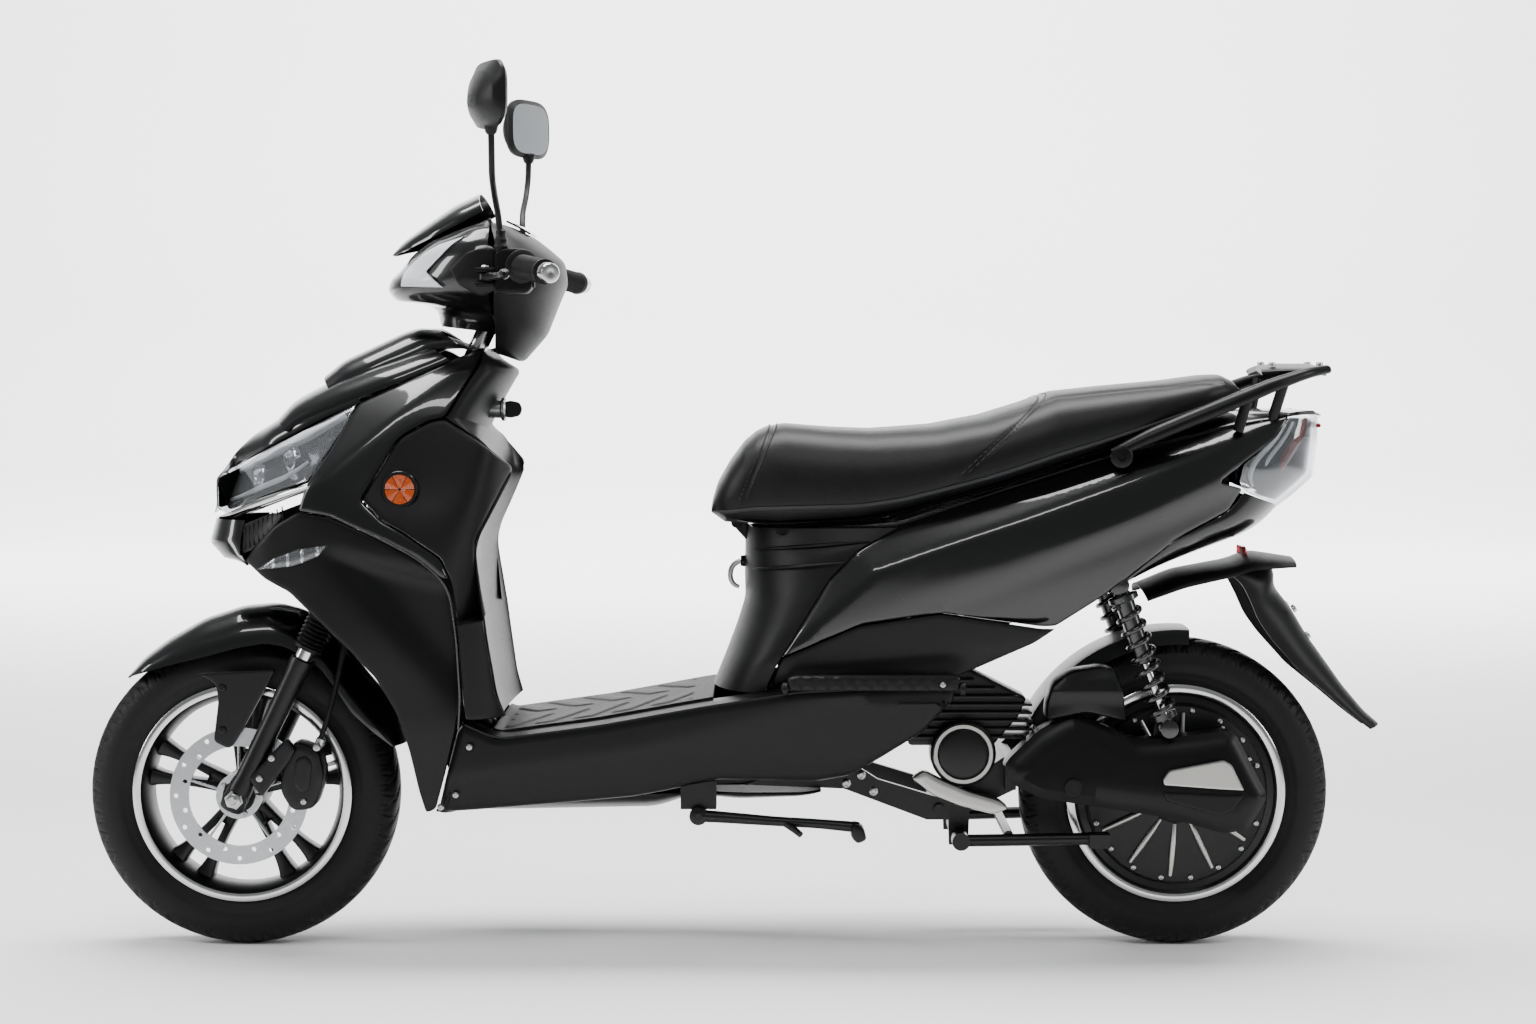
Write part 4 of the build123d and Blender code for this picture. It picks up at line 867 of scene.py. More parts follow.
def floor_pieces():
    """Side skirts, belly pan and the ribbed rubber floor."""
    skirts = mirrored(skin(SKIRT_SIDE, skirt_width, edge=6.0))
    lip = []
    edge_line = [(-388, 347), (-341, 327), (-193, 347), (-49, 373), (94, 395), (231, 401), (318, 403)]
    columns = 9
    line = spaced(edge_line, 60)
    for x, z in line:
        wide = float(skirt_width(np.array([x]), np.array([400.0]))[0]) - 2
        for k in range(columns):
            u = k / (columns - 1)
            lip.append((x, -(wide + (130 - wide) * u), z + 4 * math.sin(u * math.pi * 0.5)))
    tops = mirrored(walled(lip, 60, columns, 3.0))
    belly = hood(
        [(-440, 205), (-342, 200), (-116, 205), (-60, 226), (8, 219), (105, 226), (128, 236)],
        [(-434, 112, 216), (-342, 112, 240), (-116, 112, 240), (-60, 84, 240), (8, 106, 240),
         (105, 106, 240), (126, 106, 244)],
        rows=60, across=10, flat=0.6,
    )
    piece("floor_side_skirts", *merged(skirts, tops, belly), satin_plastic, "chassis", "satin_plastic",
          ["floor_skirts"])
    mat, rows, columns = [], 90, 81
    line = spaced([(-350, 334), (-338, 330), (-193, 350), (-49, 376), (-30, 379)], rows)
    for x, z in line:
        for c in range(columns):
            y = -136 + 272 * c / (columns - 1)
            vein = math.sin((x + abs(y) * 0.55) / 9.0)
            rise = 1.6 if vein > 0.1 and 24 < abs(y) < 118 and -330 < x < -62 else 0.0
            mat.append((x, y, z + 1.5 + rise))
    piece("floor_mat", *walled(mat, rows, columns, 6.0), tyre_rubber, "chassis", "satin_plastic",
          ["floorboard"])
    bolts = [around_bolt((-402, -152, 246)), around_bolt((-380, -168, 318)), around_bolt((-424, -150, 228))]
    piece("skirt_screws", *mirrored(merged(*bolts)), plated_steel, "chassis", "bright_steel")


def around_bolt(spot, direction=(0, -1, 0), radius=5.0):
    """A button-head screw with a hexagon socket."""
    profile = [(-3, radius), (0.6, radius), (2.2, radius * 0.82), (2.9, radius * 0.45), (0.8, radius * 0.4),
               (0.8, radius * 0.05)]
    return capped(spot, direction, profile, 24)


def front_mudguard():
    """The gloss front mudguard with its brackets."""
    guard = hood(
        [(-904, 403), (-881, 431), (-843, 459), (-791, 488), (-732, 507), (-681, 511), (-640, 500),
         (-590, 462), (-560, 420), (-530, 384), (-500, 340), (-490, 303)],
        [(-900, 34, 402), (-872, 56, 412), (-830, 61, 424), (-780, 62, 436), (-728, 62, 450),
         (-690, 62, 456), (-660, 62, 450), (-612, 61, 420), (-590, 60, 390), (-566, 58, 352),
         (-534, 54, 322), (-508, 44, 300)],
        rows=80, across=18, flat=0.08, wall=2.6,
    )
    piece("front_mudguard", *guard, gloss_paint, "fork_lower", "gloss_black", ["front_fender"])
    bracket = skin([(-792, 414), (-763, 398), (-759, 374), (-767, 312), (-742, 300), (-722, 330),
                    (-672, 420)],
                   level(78.0), wall=5.0, edge=2.0, corner=8)
    bolts = [around_bolt((-752, -78, 392), radius=6), around_bolt((-752, -78, 330), radius=6)]
    piece("mudguard_brackets", *mirrored(merged(bracket, *bolts)), black_casting, "fork_lower",
          "fork_paint")


def rear_mudguard():
    """The rear guard that carries the number plate."""
    guard = hood(
        [(750, 580), (803, 564), (803, 536), (828, 505), (853, 463), (877, 430), (907, 388), (940, 349),
         (962, 330)],
        [(724, 76, 560), (744, 70, 545), (757, 68, 520), (770, 66, 490), (790, 62, 462), (833, 56, 414),
         (875, 46, 380), (915, 38, 346), (944, 30, 324)],
        rows=60, across=14, flat=0.25,
    )
    top = hood([(828, 580), (763, 590), (737, 578), (650, 562), (598, 540)],
               [(826, 60, 568), (763, 82, 566), (730, 84, 556), (660, 84, 540), (604, 84, 520)],
               rows=30, across=14, flat=0.3)
    piece("plate_carrier", *merged(guard, top), matt_plastic, "chassis", "satin_plastic", ["plate_holder"])
    bolts = [around_bolt((829, 30, 505), (0.85, 0, 0.5), 6),
             around_bolt((829, -30, 505), (0.85, 0, 0.5), 6),
             around_bolt((856, 0, 462), (0.85, 0, 0.5), 6)]
    piece("plate_bolts", *merged(*bolts), plated_steel, "chassis", "bright_steel")


def luggage_rail():
    """The grab rail's two arms and the flat plate between them."""
    arm = hose([(545, -136, 738), (600, -138, 764), (669, -138, 793), (726, -134, 816), (780, -122, 838),
                (832, -100, 854), (866, -70, 859)], [9, 12, 12, 12, 11, 9, 7], 20, flat=0.85)
    knob = capped((556, -146, 734), (0, -1, 0), [(0, 16), (3, 16), (5, 13), (5, 6), (3, 5), (3, 1)], 36)
    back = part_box("grab_rail")[1].x / MM
    plate = hood([(774, 864), (800, 867), (850, 867), (back, 861)],
                 [(770, 64, 855), (800, 80, 857), (850, 78, 857), (back - 6, 60, 854)],
                 rows=24, across=12, flat=0.9, wall=8.0)
    heads = [around_bolt((x, y, 866.5), (0, 0, 1), 5.5) for x in (789, 859) for y in (-45, 45)]
    struts = [hose([(728, -116, 770), (740, -124, 818)], 8, 14),
              hose([(782, -90, 786), (796, -108, 842)], 8, 14)]
    rail = merged(mirrored(merged(arm, knob, *struts)), plate)
    piece("luggage_rail", *rail, satin_plastic, "chassis", "rail_paint", ["grab_rail"])
    piece("luggage_plate_screws", *merged(*heads), plated_steel, "chassis", "bright_steel")


# Seat
SEAT_TOP = [
    (-35, 655), (-33, 668), (-26, 691), (-8, 723), (14, 753), (32, 768), (51, 777), (74, 780),
    (141, 776), (200, 774), (290, 779), (364, 792), (423, 810), (468, 826), (542, 834), (631, 842),
    (690, 850), (713, 851), (730, 843), (741, 830),
]
SEAT_UNDER = [
    (-34, 648), (-14, 634), (60, 630), (182, 637), (240, 647), (384, 688), (541, 741), (720, 810),
    (741, 824),
]
SEAT_ALONG = [
    (-36, 56), (-22, 84), (0, 100), (60, 120), (160, 138), (300, 146), (450, 144), (600, 132),
    (690, 110), (725, 88), (744, 62),
]


def seat_point(x, around_share):
    """A point of the seat's skin.

    around_share runs 0 to 1 from the left under edge, over the top, to the right.
    """
    top_line = np.array(SEAT_TOP)
    under_line = np.array(SEAT_UNDER)
    high = float(np.interp(x, top_line[:, 0], top_line[:, 1]))
    low = float(np.interp(x, under_line[:, 0], under_line[:, 1]))
    wide = float(curve_at(SEAT_ALONG, x, 6.0))
    rear = max(0.0, min(1.0, (x - 380) / 160))
    angle = math.pi * (around_share - 0.5)
    across = math.sin(angle)
    rise = math.cos(angle)
    square = 0.62
    y = wide * math.copysign(abs(across) ** square, across)
    z = low + (high - low) * abs(rise) ** 0.52
    waist = math.sin(math.pi * min(1.0, max(0.0, (z - low) / max(high - low, 1.0))))
    y *= 1.0 - 0.05 * (1 - waist) * (z < (low + high) / 2)
    dish = 5.0 * math.exp(-((x - 190) / 120) ** 2) * math.exp(-((y / 62) ** 2))
    groove = 1.6 * rear * math.exp(-((abs(y) - 92) / 5) ** 2) * (rise > 0.5)
    return (x, y, z - dish - groove)


def seam_dip(x, z):
    """How far the cover is pulled in along its sewn seams."""
    front = abs((x - 58) + (780 - z) * 0.42)
    rear = abs((x - 430) - (z - 800) * 1.1)
    return 1.8 * math.exp(-((front / 4.0) ** 2)) + 1.8 * math.exp(-((rear / 4.0) ** 2))


def seat_pieces():
    """The crowned cushion, its pulled-in seams, piping along the base and rows of stitches."""
    rows, columns = 230, 97
    start, end = SEAT_TOP[0][0] + 0.4, SEAT_TOP[-1][0] - 0.4
    points = []
    for r in range(rows):
        turn = (1 - math.cos(math.pi * r / (rows - 1))) / 2
        share = 0.45 * turn + 0.55 * r / (rows - 1)
        x = start + (end - start) * share
        for c in range(columns):
            px, py, pz = seat_point(x, c / (columns - 1))
            dip = seam_dip(px, pz)
            inward = Vector((0, -py, 740 - pz)).normalized()
            points.append((px, py + inward.y * dip, pz + inward.z * dip * (pz > 650)))
    faces = grid_faces(rows, columns)
    faces += [((r + 1) * columns, (r + 1) * columns + columns - 1, r * columns + columns - 1, r * columns)
              for r in range(rows - 1)]
    faces.append(tuple(reversed(range(columns))))
    faces.append(tuple((rows - 1) * columns + c for c in range(columns)))
    cushion = piece("seat_cover", points, faces, seat_vinyl, "seat", "seat_vinyl", ["seat_cushion"],
                    sharp=60)
    swell = cushion.modifiers.new("settled", "SMOOTH")
    swell.factor = 0.5
    swell.iterations = 2
    low_edge = []
    for x in np.linspace(-20, 716, 60):
        px, py, pz = seat_point(x, 0.012)
        low_edge.append((px, py - 0.5, pz + 1))
    piping = mirrored(hose(low_edge, 2.6, 10))
    piece("seat_edge_piping", *piping, seat_thread, "seat", "seat_vinyl")
    stitches = []
    for offset in (-5.5, 5.5):
        stitches += stitch_row(lambda u: seam_spot(58, -0.42, u, offset), 74)
        stitches += stitch_row(lambda u: seam_spot(430, 1.1, u, offset), 66)
    piece("seat_stitches", *merged(*stitches), seat_thread, "seat", "seat_vinyl")
    tray = hood(
        [(-30, 650), (-14, 634), (60, 627), (182, 634), (240, 644), (384, 684), (541, 736), (722, 806)],
        [(-24, 56, 650), (-6, 80, 640), (60, 100, 634), (182, 118, 641), (240, 122, 651), (384, 124, 692),
         (541, 116, 745), (716, 70, 812)],
        rows=60, across=10, flat=0.6,
    )
    pins = capped((2, -30, 632), (0, 1, 0), [(0, 7), (1, 8), (59, 8), (60, 7)], 24)
    piece("seat_tray", *merged(tray, pins), satin_plastic, "seat", "satin_plastic", ["seat_base"])


def seam_spot(base, lean, share, offset):
    """A point on the seat's skin beside one of the seams that run over it."""
    place = 0.035 + 0.93 * share
    x = base
    for _ in range(6):
        z = seat_point(x, place)[2]
        x = base + (z - 780) * -lean if lean < 0 else base + (z - 800) * lean
        x = min(max(x, -30), 735)
    spot = seat_point(x + offset, place)
    middle = Vector((spot[0], 0, 740))
    out = (Vector(spot) - middle).normalized()
    return Vector(spot) + out * 0.5


def stitch_row(place, count):
    """Short thread stitches set end to end with small gaps."""
    row = []
    for k in range(count):
        a, b = place((k + 0.18) / count), place((k + 0.82) / count)
        middle = (a + b) / 2 + (a + b - Vector((a.x + b.x, 0, 1480))).normalized() * 0.5
        row.append(hose([tuple(a), tuple(middle), tuple(b)], [0.45, 0.75, 0.45], 6, spacing=3.0))
    return row


# Wheels
def tread_depth(angle, y):
    """Depth of the road tyre's grooves: a chevron pattern with side blades."""
    lead = abs(y)
    blade = (angle * 44 / (2 * math.pi) + lead * 0.034 + (0.5 if y > 0 else 0.0)) % 1.0
    sweep = 3.2 if 0.40 < blade < 0.56 and 7 < lead < 38 else 0.0
    short = (angle * 88 / (2 * math.pi) - lead * 0.02) % 1.0
    edge_cut = 2.4 if short < 0.16 and 30 < lead < 43 else 0.0
    return max(sweep, edge_cut)


def tyre(name, axle, body, node, turn):
    """A moulded road tyre with grooves, a side-wall rib and bead."""
    half = [
        (0, 230), (3, 230), (6.5, 229.8), (10, 229.5), (13.5, 229.1), (17, 228.6), (20.5, 227.8),
        (24, 226.8), (27.5, 225.2), (31, 222.8), (34.5, 219.8), (37.5, 216), (40.5, 211.4), (43, 206),
        (45, 199.6), (45.8, 195), (46, 190), (45.5, 184), (44.2, 178.5), (43.4, 177.6), (42, 172.5),
        (39.6, 168), (37.5, 164.5), (36.8, 160), (36, 153.4),
    ]
    profile = [(-y, r) for y, r in reversed(half)] + half[1:]
    profile += [(28, 153.4), (29, 166), (38, 182), (36, 204), (20, 218), (-20, 218), (-36, 204), (-38, 182),
                (-29, 166), (-28, 153.4)]
    steps = 880
    points = []
    for y, radius in profile:
        outer = radius > 195 and abs(y) < 46 and (radius > 219 or abs(y) > 36.5)
        for k in range(steps):
            angle = 2 * math.pi * k / steps
            deep = tread_depth(angle * turn, y) if outer else 0.0
            r = radius - deep
            points.append(about(axle, r, angle, y))
    faces = grid_faces(len(profile), steps, closed=True)
    first = (len(profile) - 1) * steps
    faces += [(first + k, first + (k + 1) % steps, (k + 1) % steps, k) for k in range(steps)]
    return piece(name, points, faces, tyre_rubber, body, "tyre_rubber", [node], sharp=50)


def spoke(axle, angle, start, end):
    """One tapered cast spoke with softened edges, its root wide and its tip flared."""
    out = np.array([math.cos(angle), 0, math.sin(angle)])
    tangent = np.array([-math.sin(angle), 0, math.cos(angle)])
    rows = []
    for u in np.linspace(0, 1, 12):
        wide = 9.5 - 3.0 * math.sin(u * math.pi) + 5.0 * u**6
        deep = 20.0 - 8.0 * u + 8.0 * u**5
        centre = np.array(axle) + out * (start + (end - start) * u)
        for k in range(20):
            turn = 2 * math.pi * k / 20
            a = math.copysign(abs(math.cos(turn)) ** 0.45, math.cos(turn))
            b = math.copysign(abs(math.sin(turn)) ** 0.45, math.sin(turn))
            rows.append(centre + tangent * wide * a + np.array([0, 1, 0]) * deep * b)
    return rows, grid_faces(12, 20, closed=True)


def rim_lips(name, axle, body):
    """The polished lip on both edges of a rim."""
    profile = [(37, 148.5), (41.5, 151), (42.5, 155), (42.3, 160.5), (41, 162.5), (39.4, 161.5), (39, 156),
               (37.5, 152)]
    lips = [around(axle, (0, side, 0), profile, 180) for side in (-1, 1)]
    piece(name, *merged(*lips), polished_alloy, body, "bright_steel")


def front_wheel_pieces():
    """The cast five-double-spoke rim with a polished lip, disc bolts and valve."""
    tyre("front_road_tyre", FRONT_AXLE, "front_wheel", "front_tyre", 1)
    across = (0, 1, 0)
    barrel = around(FRONT_AXLE, across, [
        (-41, 150.5), (-38, 148), (-26, 143), (-14, 140), (14, 140), (26, 143), (38, 148), (41, 150.5),
        (38, 152), (26, 151), (-26, 151), (-38, 152), (-41, 150.5)], 144)
    hub = capped(FRONT_AXLE, across,
                 [(-60, 20), (-60, 29), (-57, 31), (-30, 34), (30, 34), (57, 31), (60, 29),
                                      (60, 20)], 64)
    spokes = []
    for k in range(5):
        for turn in (-0.17, 0.17):
            spokes.append(spoke(FRONT_AXLE, math.radians(90 + 72 * k) + turn, 24, 142))
    web = [spoke(FRONT_AXLE, math.radians(90 + 72 * k), 26, 58) for k in range(5)]
    piece("front_rim_casting", *merged(barrel, hub, *spokes, *web), black_casting, "front_wheel",
          "rim_alloy",
          ["front_wheel_rim"])
    rim_lips("front_rim_lips", FRONT_AXLE, "front_wheel")
    bolts = [around_bolt(about(FRONT_AXLE, 27, a, -66), radius=4.5)
             for a in np.linspace(0, 2 * math.pi, 6)[:-1]]
    valve = capped(about(FRONT_AXLE, 140, 0.3, -6),
                   (-math.cos(0.3), -0.35, -math.sin(0.3)), [(0, 4), (8, 3.2), (24, 3), (25, 4), (33, 4)],
                   16)
    piece("front_disc_bolts", *merged(*bolts, valve), plated_steel, "front_wheel", "bright_steel")


def rear_wheel_pieces():
    """The hub motor's covers with their radial ribs, the cover bolts and a polished lip."""
    tyre("rear_road_tyre", REAR_AXLE, "rear_wheel", "rear_tyre", -1)
    shell = around(REAR_AXLE, (0, 1, 0), [
        (-60, 9.2), (-60, 34), (-59, 38), (-55, 42), (-53, 60), (-48, 118), (-49, 131), (-46, 134),
        (-41, 136), (-38, 146), (-40, 149), (-38, 152), (38, 152), (40, 149), (38, 146), (41, 136),
        (46, 134), (49, 131), (48, 118), (53, 60), (55, 42), (59, 38), (60, 34), (60, 9.2), (-60, 9.2)], 180)
    piece("hub_motor_covers", *shell, black_casting, "rear_wheel", "rim_alloy", ["rear_hub_motor"])
    ribs, bolts = [], []
    for side in (-1, 1):
        for k in range(12):
            a = math.radians(30 * k + 26)
            line = [about(REAR_AXLE, r, a, side * y)
                    for r, y in ((44, 54), (62, 55.5), (90, 53.5), (122, 50.5))]
            ribs.append(hose(line, [3, 4.2, 4.2, 3], 12, spacing=5.0))
        for k in range(18):
            a = math.radians(20 * k)
            bolts.append(around_bolt(about(REAR_AXLE, 126, a, side * 49), (0, side, 0), 4.4))
    piece("hub_motor_ribs", *merged(*ribs), cast_alloy, "rear_wheel", "bright_steel")
    rim_lips("rear_rim_lips", REAR_AXLE, "rear_wheel")
    piece("hub_motor_bolts", *merged(*bolts), plated_steel, "rear_wheel", "bright_steel")


# Fork and front brake
def fork_pieces():
    """Cast lower legs, ribbed dust boots, axle nuts, caliper and hose."""
    legs = []
    for side in (-1, 1):
        y = 88 * side
        legs.append(capped(on_leg(-20, y), UP_FORK, [
            (0, 10), (2, 16), (6, 18.5), (40, 18), (56, 15.5), (150, 15.5), (226, 16.5), (240, 18),
            (248, 18), (250, 16)], 48))
        legs.append(capped((-732, 74 * side, 230), (0, side, 0), [(0, 17), (1, 18), (27, 18), (29, 16)],
                           36))
    lug = skin([(-712, 262), (-655, 322), (-640, 304), (-650, 286), (-692, 232)], level(103),
               wall=13.0, edge=3.0)
    piece("fork_lower_legs", *merged(*legs, lug), black_casting, "fork_lower", "fork_paint",
          ["fork_lowers"])
    nuts = []
    for side in (-1, 1):
        nuts.append(capped((-732, 103 * side, 230), (0, side, 0), [(0, 14), (2, 14), (2.2, 11.5), (9, 11.5),
                                                                  (10, 10)], 6))
        nuts.append(capped((-732, 103 * side, 230), (0, side, 0), [(0, 6), (12, 6), (13.5, 4.5)], 24))
    nuts += [around_bolt((-676, -104, 292), radius=5.5), around_bolt((-694, -104, 262), radius=5.5)]
    piece("axle_nuts", *merged(*nuts), plated_steel, "fork_lower", "bright_steel")
    boots = []
    for side in (-1, 1):
        profile = [(244, 18), (245, 20.5), (250, 21)]
        for k in range(9):
            profile += [(251.5 + 6.6 * k, 18.6), (254.6 + 6.6 * k, 22.0)]
        profile += [(311, 19), (313, 16)]
        boots.append(capped(on_leg(0, 88 * side), UP_FORK, profile, 48))
    piece("fork_dust_boots", *merged(*boots), grip_rubber, "fork_lower", "tyre_rubber", ["fork_gaiters"])
    outline = [(-668, 240), (-664, 298), (-642, 316), (-608, 302), (-600, 262), (-616, 214), (-650, 210)]
    body = skin(outline, level(91.0), wall=37.0, edge=6.0, corner=12, step=6.0)
    slot_ring = skin([(-648, 250), (-644, 290), (-628, 296), (-618, 284), (-622, 244), (-636, 236)],
                     level(93.0), wall=8.0, edge=3.0, corner=14, step=5.0)
    piece("front_caliper", *merged(body, slot_ring), black_casting, "fork_lower", "fork_paint",
          ["brake_caliper"])
    line = [(-612, -78, 308), (-600, -78, 340), (-584, -76, 400), (-572, -72, 462), (-552, -62, 540),
            (-536, -44, 612)]
    piece("front_brake_hose", *hose(line, 4.0, 16), grip_rubber, "fork_lower", "grip_rubber",
          ["brake_hose"],
          stretch=("steering", (-604, -78, 330), (-548, -58, 560)))
    ends = [capped((-612, -78, 306), (0.4, 0, 0.9), [(0, 5), (1, 7), (12, 7), (13, 5)], 18),
            around_bolt((-612, -92, 306), radius=6), around_bolt((-632, -92, 226), radius=5)]
    piece("hose_banjo", *merged(*ends), plated_steel, "fork_lower", "bright_steel")


# Rear drive
def drive_pieces():
    """The motor cover with its insert, the air box, the dummy engine's bright casting and the hugger."""
    def cover_width(x, z):
        ridge = beyond(x, z, (398, 262), (760, 240), 0.16, 5.0)
        return 147.5 - ridge * (x < 800) - 5.0 * (1 - np.clip((x - 380) / 90, 0, 1))

    cover = skin(MOTOR_COVER_SIDE, cover_width, edge=15.0, wall=36.0, corner=9, step=7.0, chamfer=True)
    rim = capped((490, -149, 256), (0, -1, 0), [(0, 13), (1, 12.5), (1.2, 10), (-5, 9.6), (-5, 1)], 36)
    piece("motor_side_cover", *merged(cover, rim), satin_plastic, "swingarm", "satin_plastic",
          ["motor_cover"])
    insert = skin([(618, 268), (628, 282), (707, 297), (719, 290), (738, 251), (700, 253), (620, 259)],
                  level(151.5), wall=4.0, edge=1.5, corner=5, step=5.0)
    lower = skin([(612, 262), (620, 250), (700, 246), (738, 246), (722, 222), (700, 214), (624, 236)],
                 level(150.0), wall=4.0, edge=2.0, corner=5, step=5.0)
    piece("motor_cover_insert", *insert, cast_alloy, "swingarm", "bright_steel")
    piece("motor_cover_lower_insert", *lower, matt_plastic, "swingarm", "satin_plastic")
    box_side = [(450, 350), (452, 378), (460, 406), (489, 424), (533, 431), (552, 427), (564, 392),
                (570, 348), (510, 362)]
    box_skin = skin(box_side, lambda x, z: 139.0 - 5 * np.abs(np.sin((z - 350) / 14.0)), wall=38.0,
                    edge=7.0,
                    corner=10, step=6.0)
    round_cover = capped(ROUND_COVER, (0, -1, 0), [
        (0, 48), (40, 48), (43, 45), (43, 41), (41, 40), (44, 36), (46, 30), (46, 3)], 72)
    fins = [skin([(246, z), (246, z + 4), (250 + 186 * min(1, (440 - z) / 70), z + 4),
                  (250 + 186 * min(1, (440 - z) / 70), z)], level(88.0), wall=60.0, edge=1.2,
                 corner=1, gap=0.0, step=12.0) for z in range(318, 424, 12)]
    barrel = skin([(254, 306), (250, 428), (326, 430), (430, 378), (418, 350), (380, 306)],
                  level(78.0), wall=50.0, edge=3.0)
    guard = []
    for k in range(60):
        a = math.radians(86 + 68 * k / 59)
        for j in range(17):
            u = -1 + 2 * j / 16
            r = 243 + 4 * math.cos(u * math.pi / 2)
            drop = 20 * max(0, abs(u) - 0.8) / 0.2
            guard.append(about(REAR_AXLE, r - drop, a, 54 * math.sin(u * math.pi / 2)))
    hugger = walled(guard, 60, 17, 3.0)
    engine = merged(box_skin, round_cover, *fins, barrel, hugger)
    piece("dummy_engine", *engine, black_casting, "swingarm", "satin_plastic", ["engine_trim"])
    casting = skin([(257, 262), (277, 275), (300, 262), (342, 244), (390, 230), (402, 218), (380, 208),
                    (330, 220), (290, 236)], level(106.0), wall=17.0, edge=4.0, corner=8, step=5.0)
    ring = around((334, -104, 298), (0, -1, 0), [(0, 44), (2.5, 43), (2.5, 38), (0, 37), (0, 44)], 72)
    screws = [around_bolt(about(ROUND_COVER, 41, a, -103), radius=3.2)
              for a in np.linspace(0.3, 0.3 + 2 * math.pi, 6)[:-1]]
    piece("engine_bright_casting", *merged(casting, ring), cast_alloy, "swingarm", "bright_steel")
    hanger_places = ((186, 264), (204, 240), (164, 252), (300, 214))
    hanger = [around_bolt((x, -85, z), radius=7) for x, z in hanger_places]
    piece("hanger_bolts", *merged(*hanger), plated_steel, "chassis", "bright_steel")
    piece("engine_cover_screws", *merged(*screws), plated_steel, "swingarm", "bright_steel")


def shock_pieces():
    """Shock bodies, shafts and coil springs wound from wire."""
    top, bottom = Vector((556, 0, 548)), Vector((630, 0, 339))
    down = (bottom - top).normalized()
    length = (bottom - top).length
    uppers, lowers, shafts, springs = [], [], [], []
    for side in (-1, 1):
        offset = Vector((0, 126 * side, 0))
        uppers.append(capped(top + offset - Vector((0, 14, 0)), (0, 1, 0),
                             [(0, 12), (1, 14), (27, 14), (28, 12)], 32))
        uppers.append(capped(top + offset, down, [
            (6, 9), (14, 12), (16, 21), (17, 22), (24, 22), (25, 20), (27, 14), (118, 13), (120, 11)], 40))
        lowers.append(capped(bottom + offset - Vector((0, 13, 0)), (0, 1, 0), [(0, 11), (1, 13), (25, 13),
                                                                              (26, 11)], 32))
        shafts.append(capped(top + offset, down, [(100, 5.5), (101, 6), (length - 22, 6), (length - 20, 5)],
                             36))
        lowers.append(capped(top + offset, down, [(length - 25, 8), (length - 24, 19), (length - 16, 19),
                                                  (length - 14, 10), (length, 8)], 36))
        first = down.orthogonal().normalized()
        second = down.cross(first)
        line = []
        begin, finish = 29.0, length - 28.0
        for k in range(260):
            u = k / 259
            turn = 2 * math.pi * 8.0 * u
            reach = 18.6
            spot = top + offset + down * (begin + (finish - begin) * u)
            line.append(tuple(spot + (first * math.cos(turn) + second * math.sin(turn)) * reach))
        springs.append(hose(line, 3.9, 10, spacing=4.0))
    piece("shock_bodies", *merged(*uppers), spring_enamel, "shock_upper", "shock_black", ["shock_uppers"])
    piece("shock_lower_eyes", *merged(*lowers), spring_enamel, "shock_lower", "shock_black",
          ["shock_lowers"])
    piece("shock_shafts", *merged(*shafts), polished_alloy, "shock_lower", "bright_steel")
    piece("shock_coils", *merged(*springs), spring_enamel, "shock_upper", "spring_steel", ["shock_springs"],
          stretch=("shock_lower", top + down * 29, top + down * (length - 28)))


# Handlebar
def grip_spot(side, along):
    """A point on a grip's line and the line's outward direction."""
    ahead = Vector((54, 140 * side, -14)).normalized()
    return Vector((-300, 200 * side, 1005)) + ahead * along, ahead


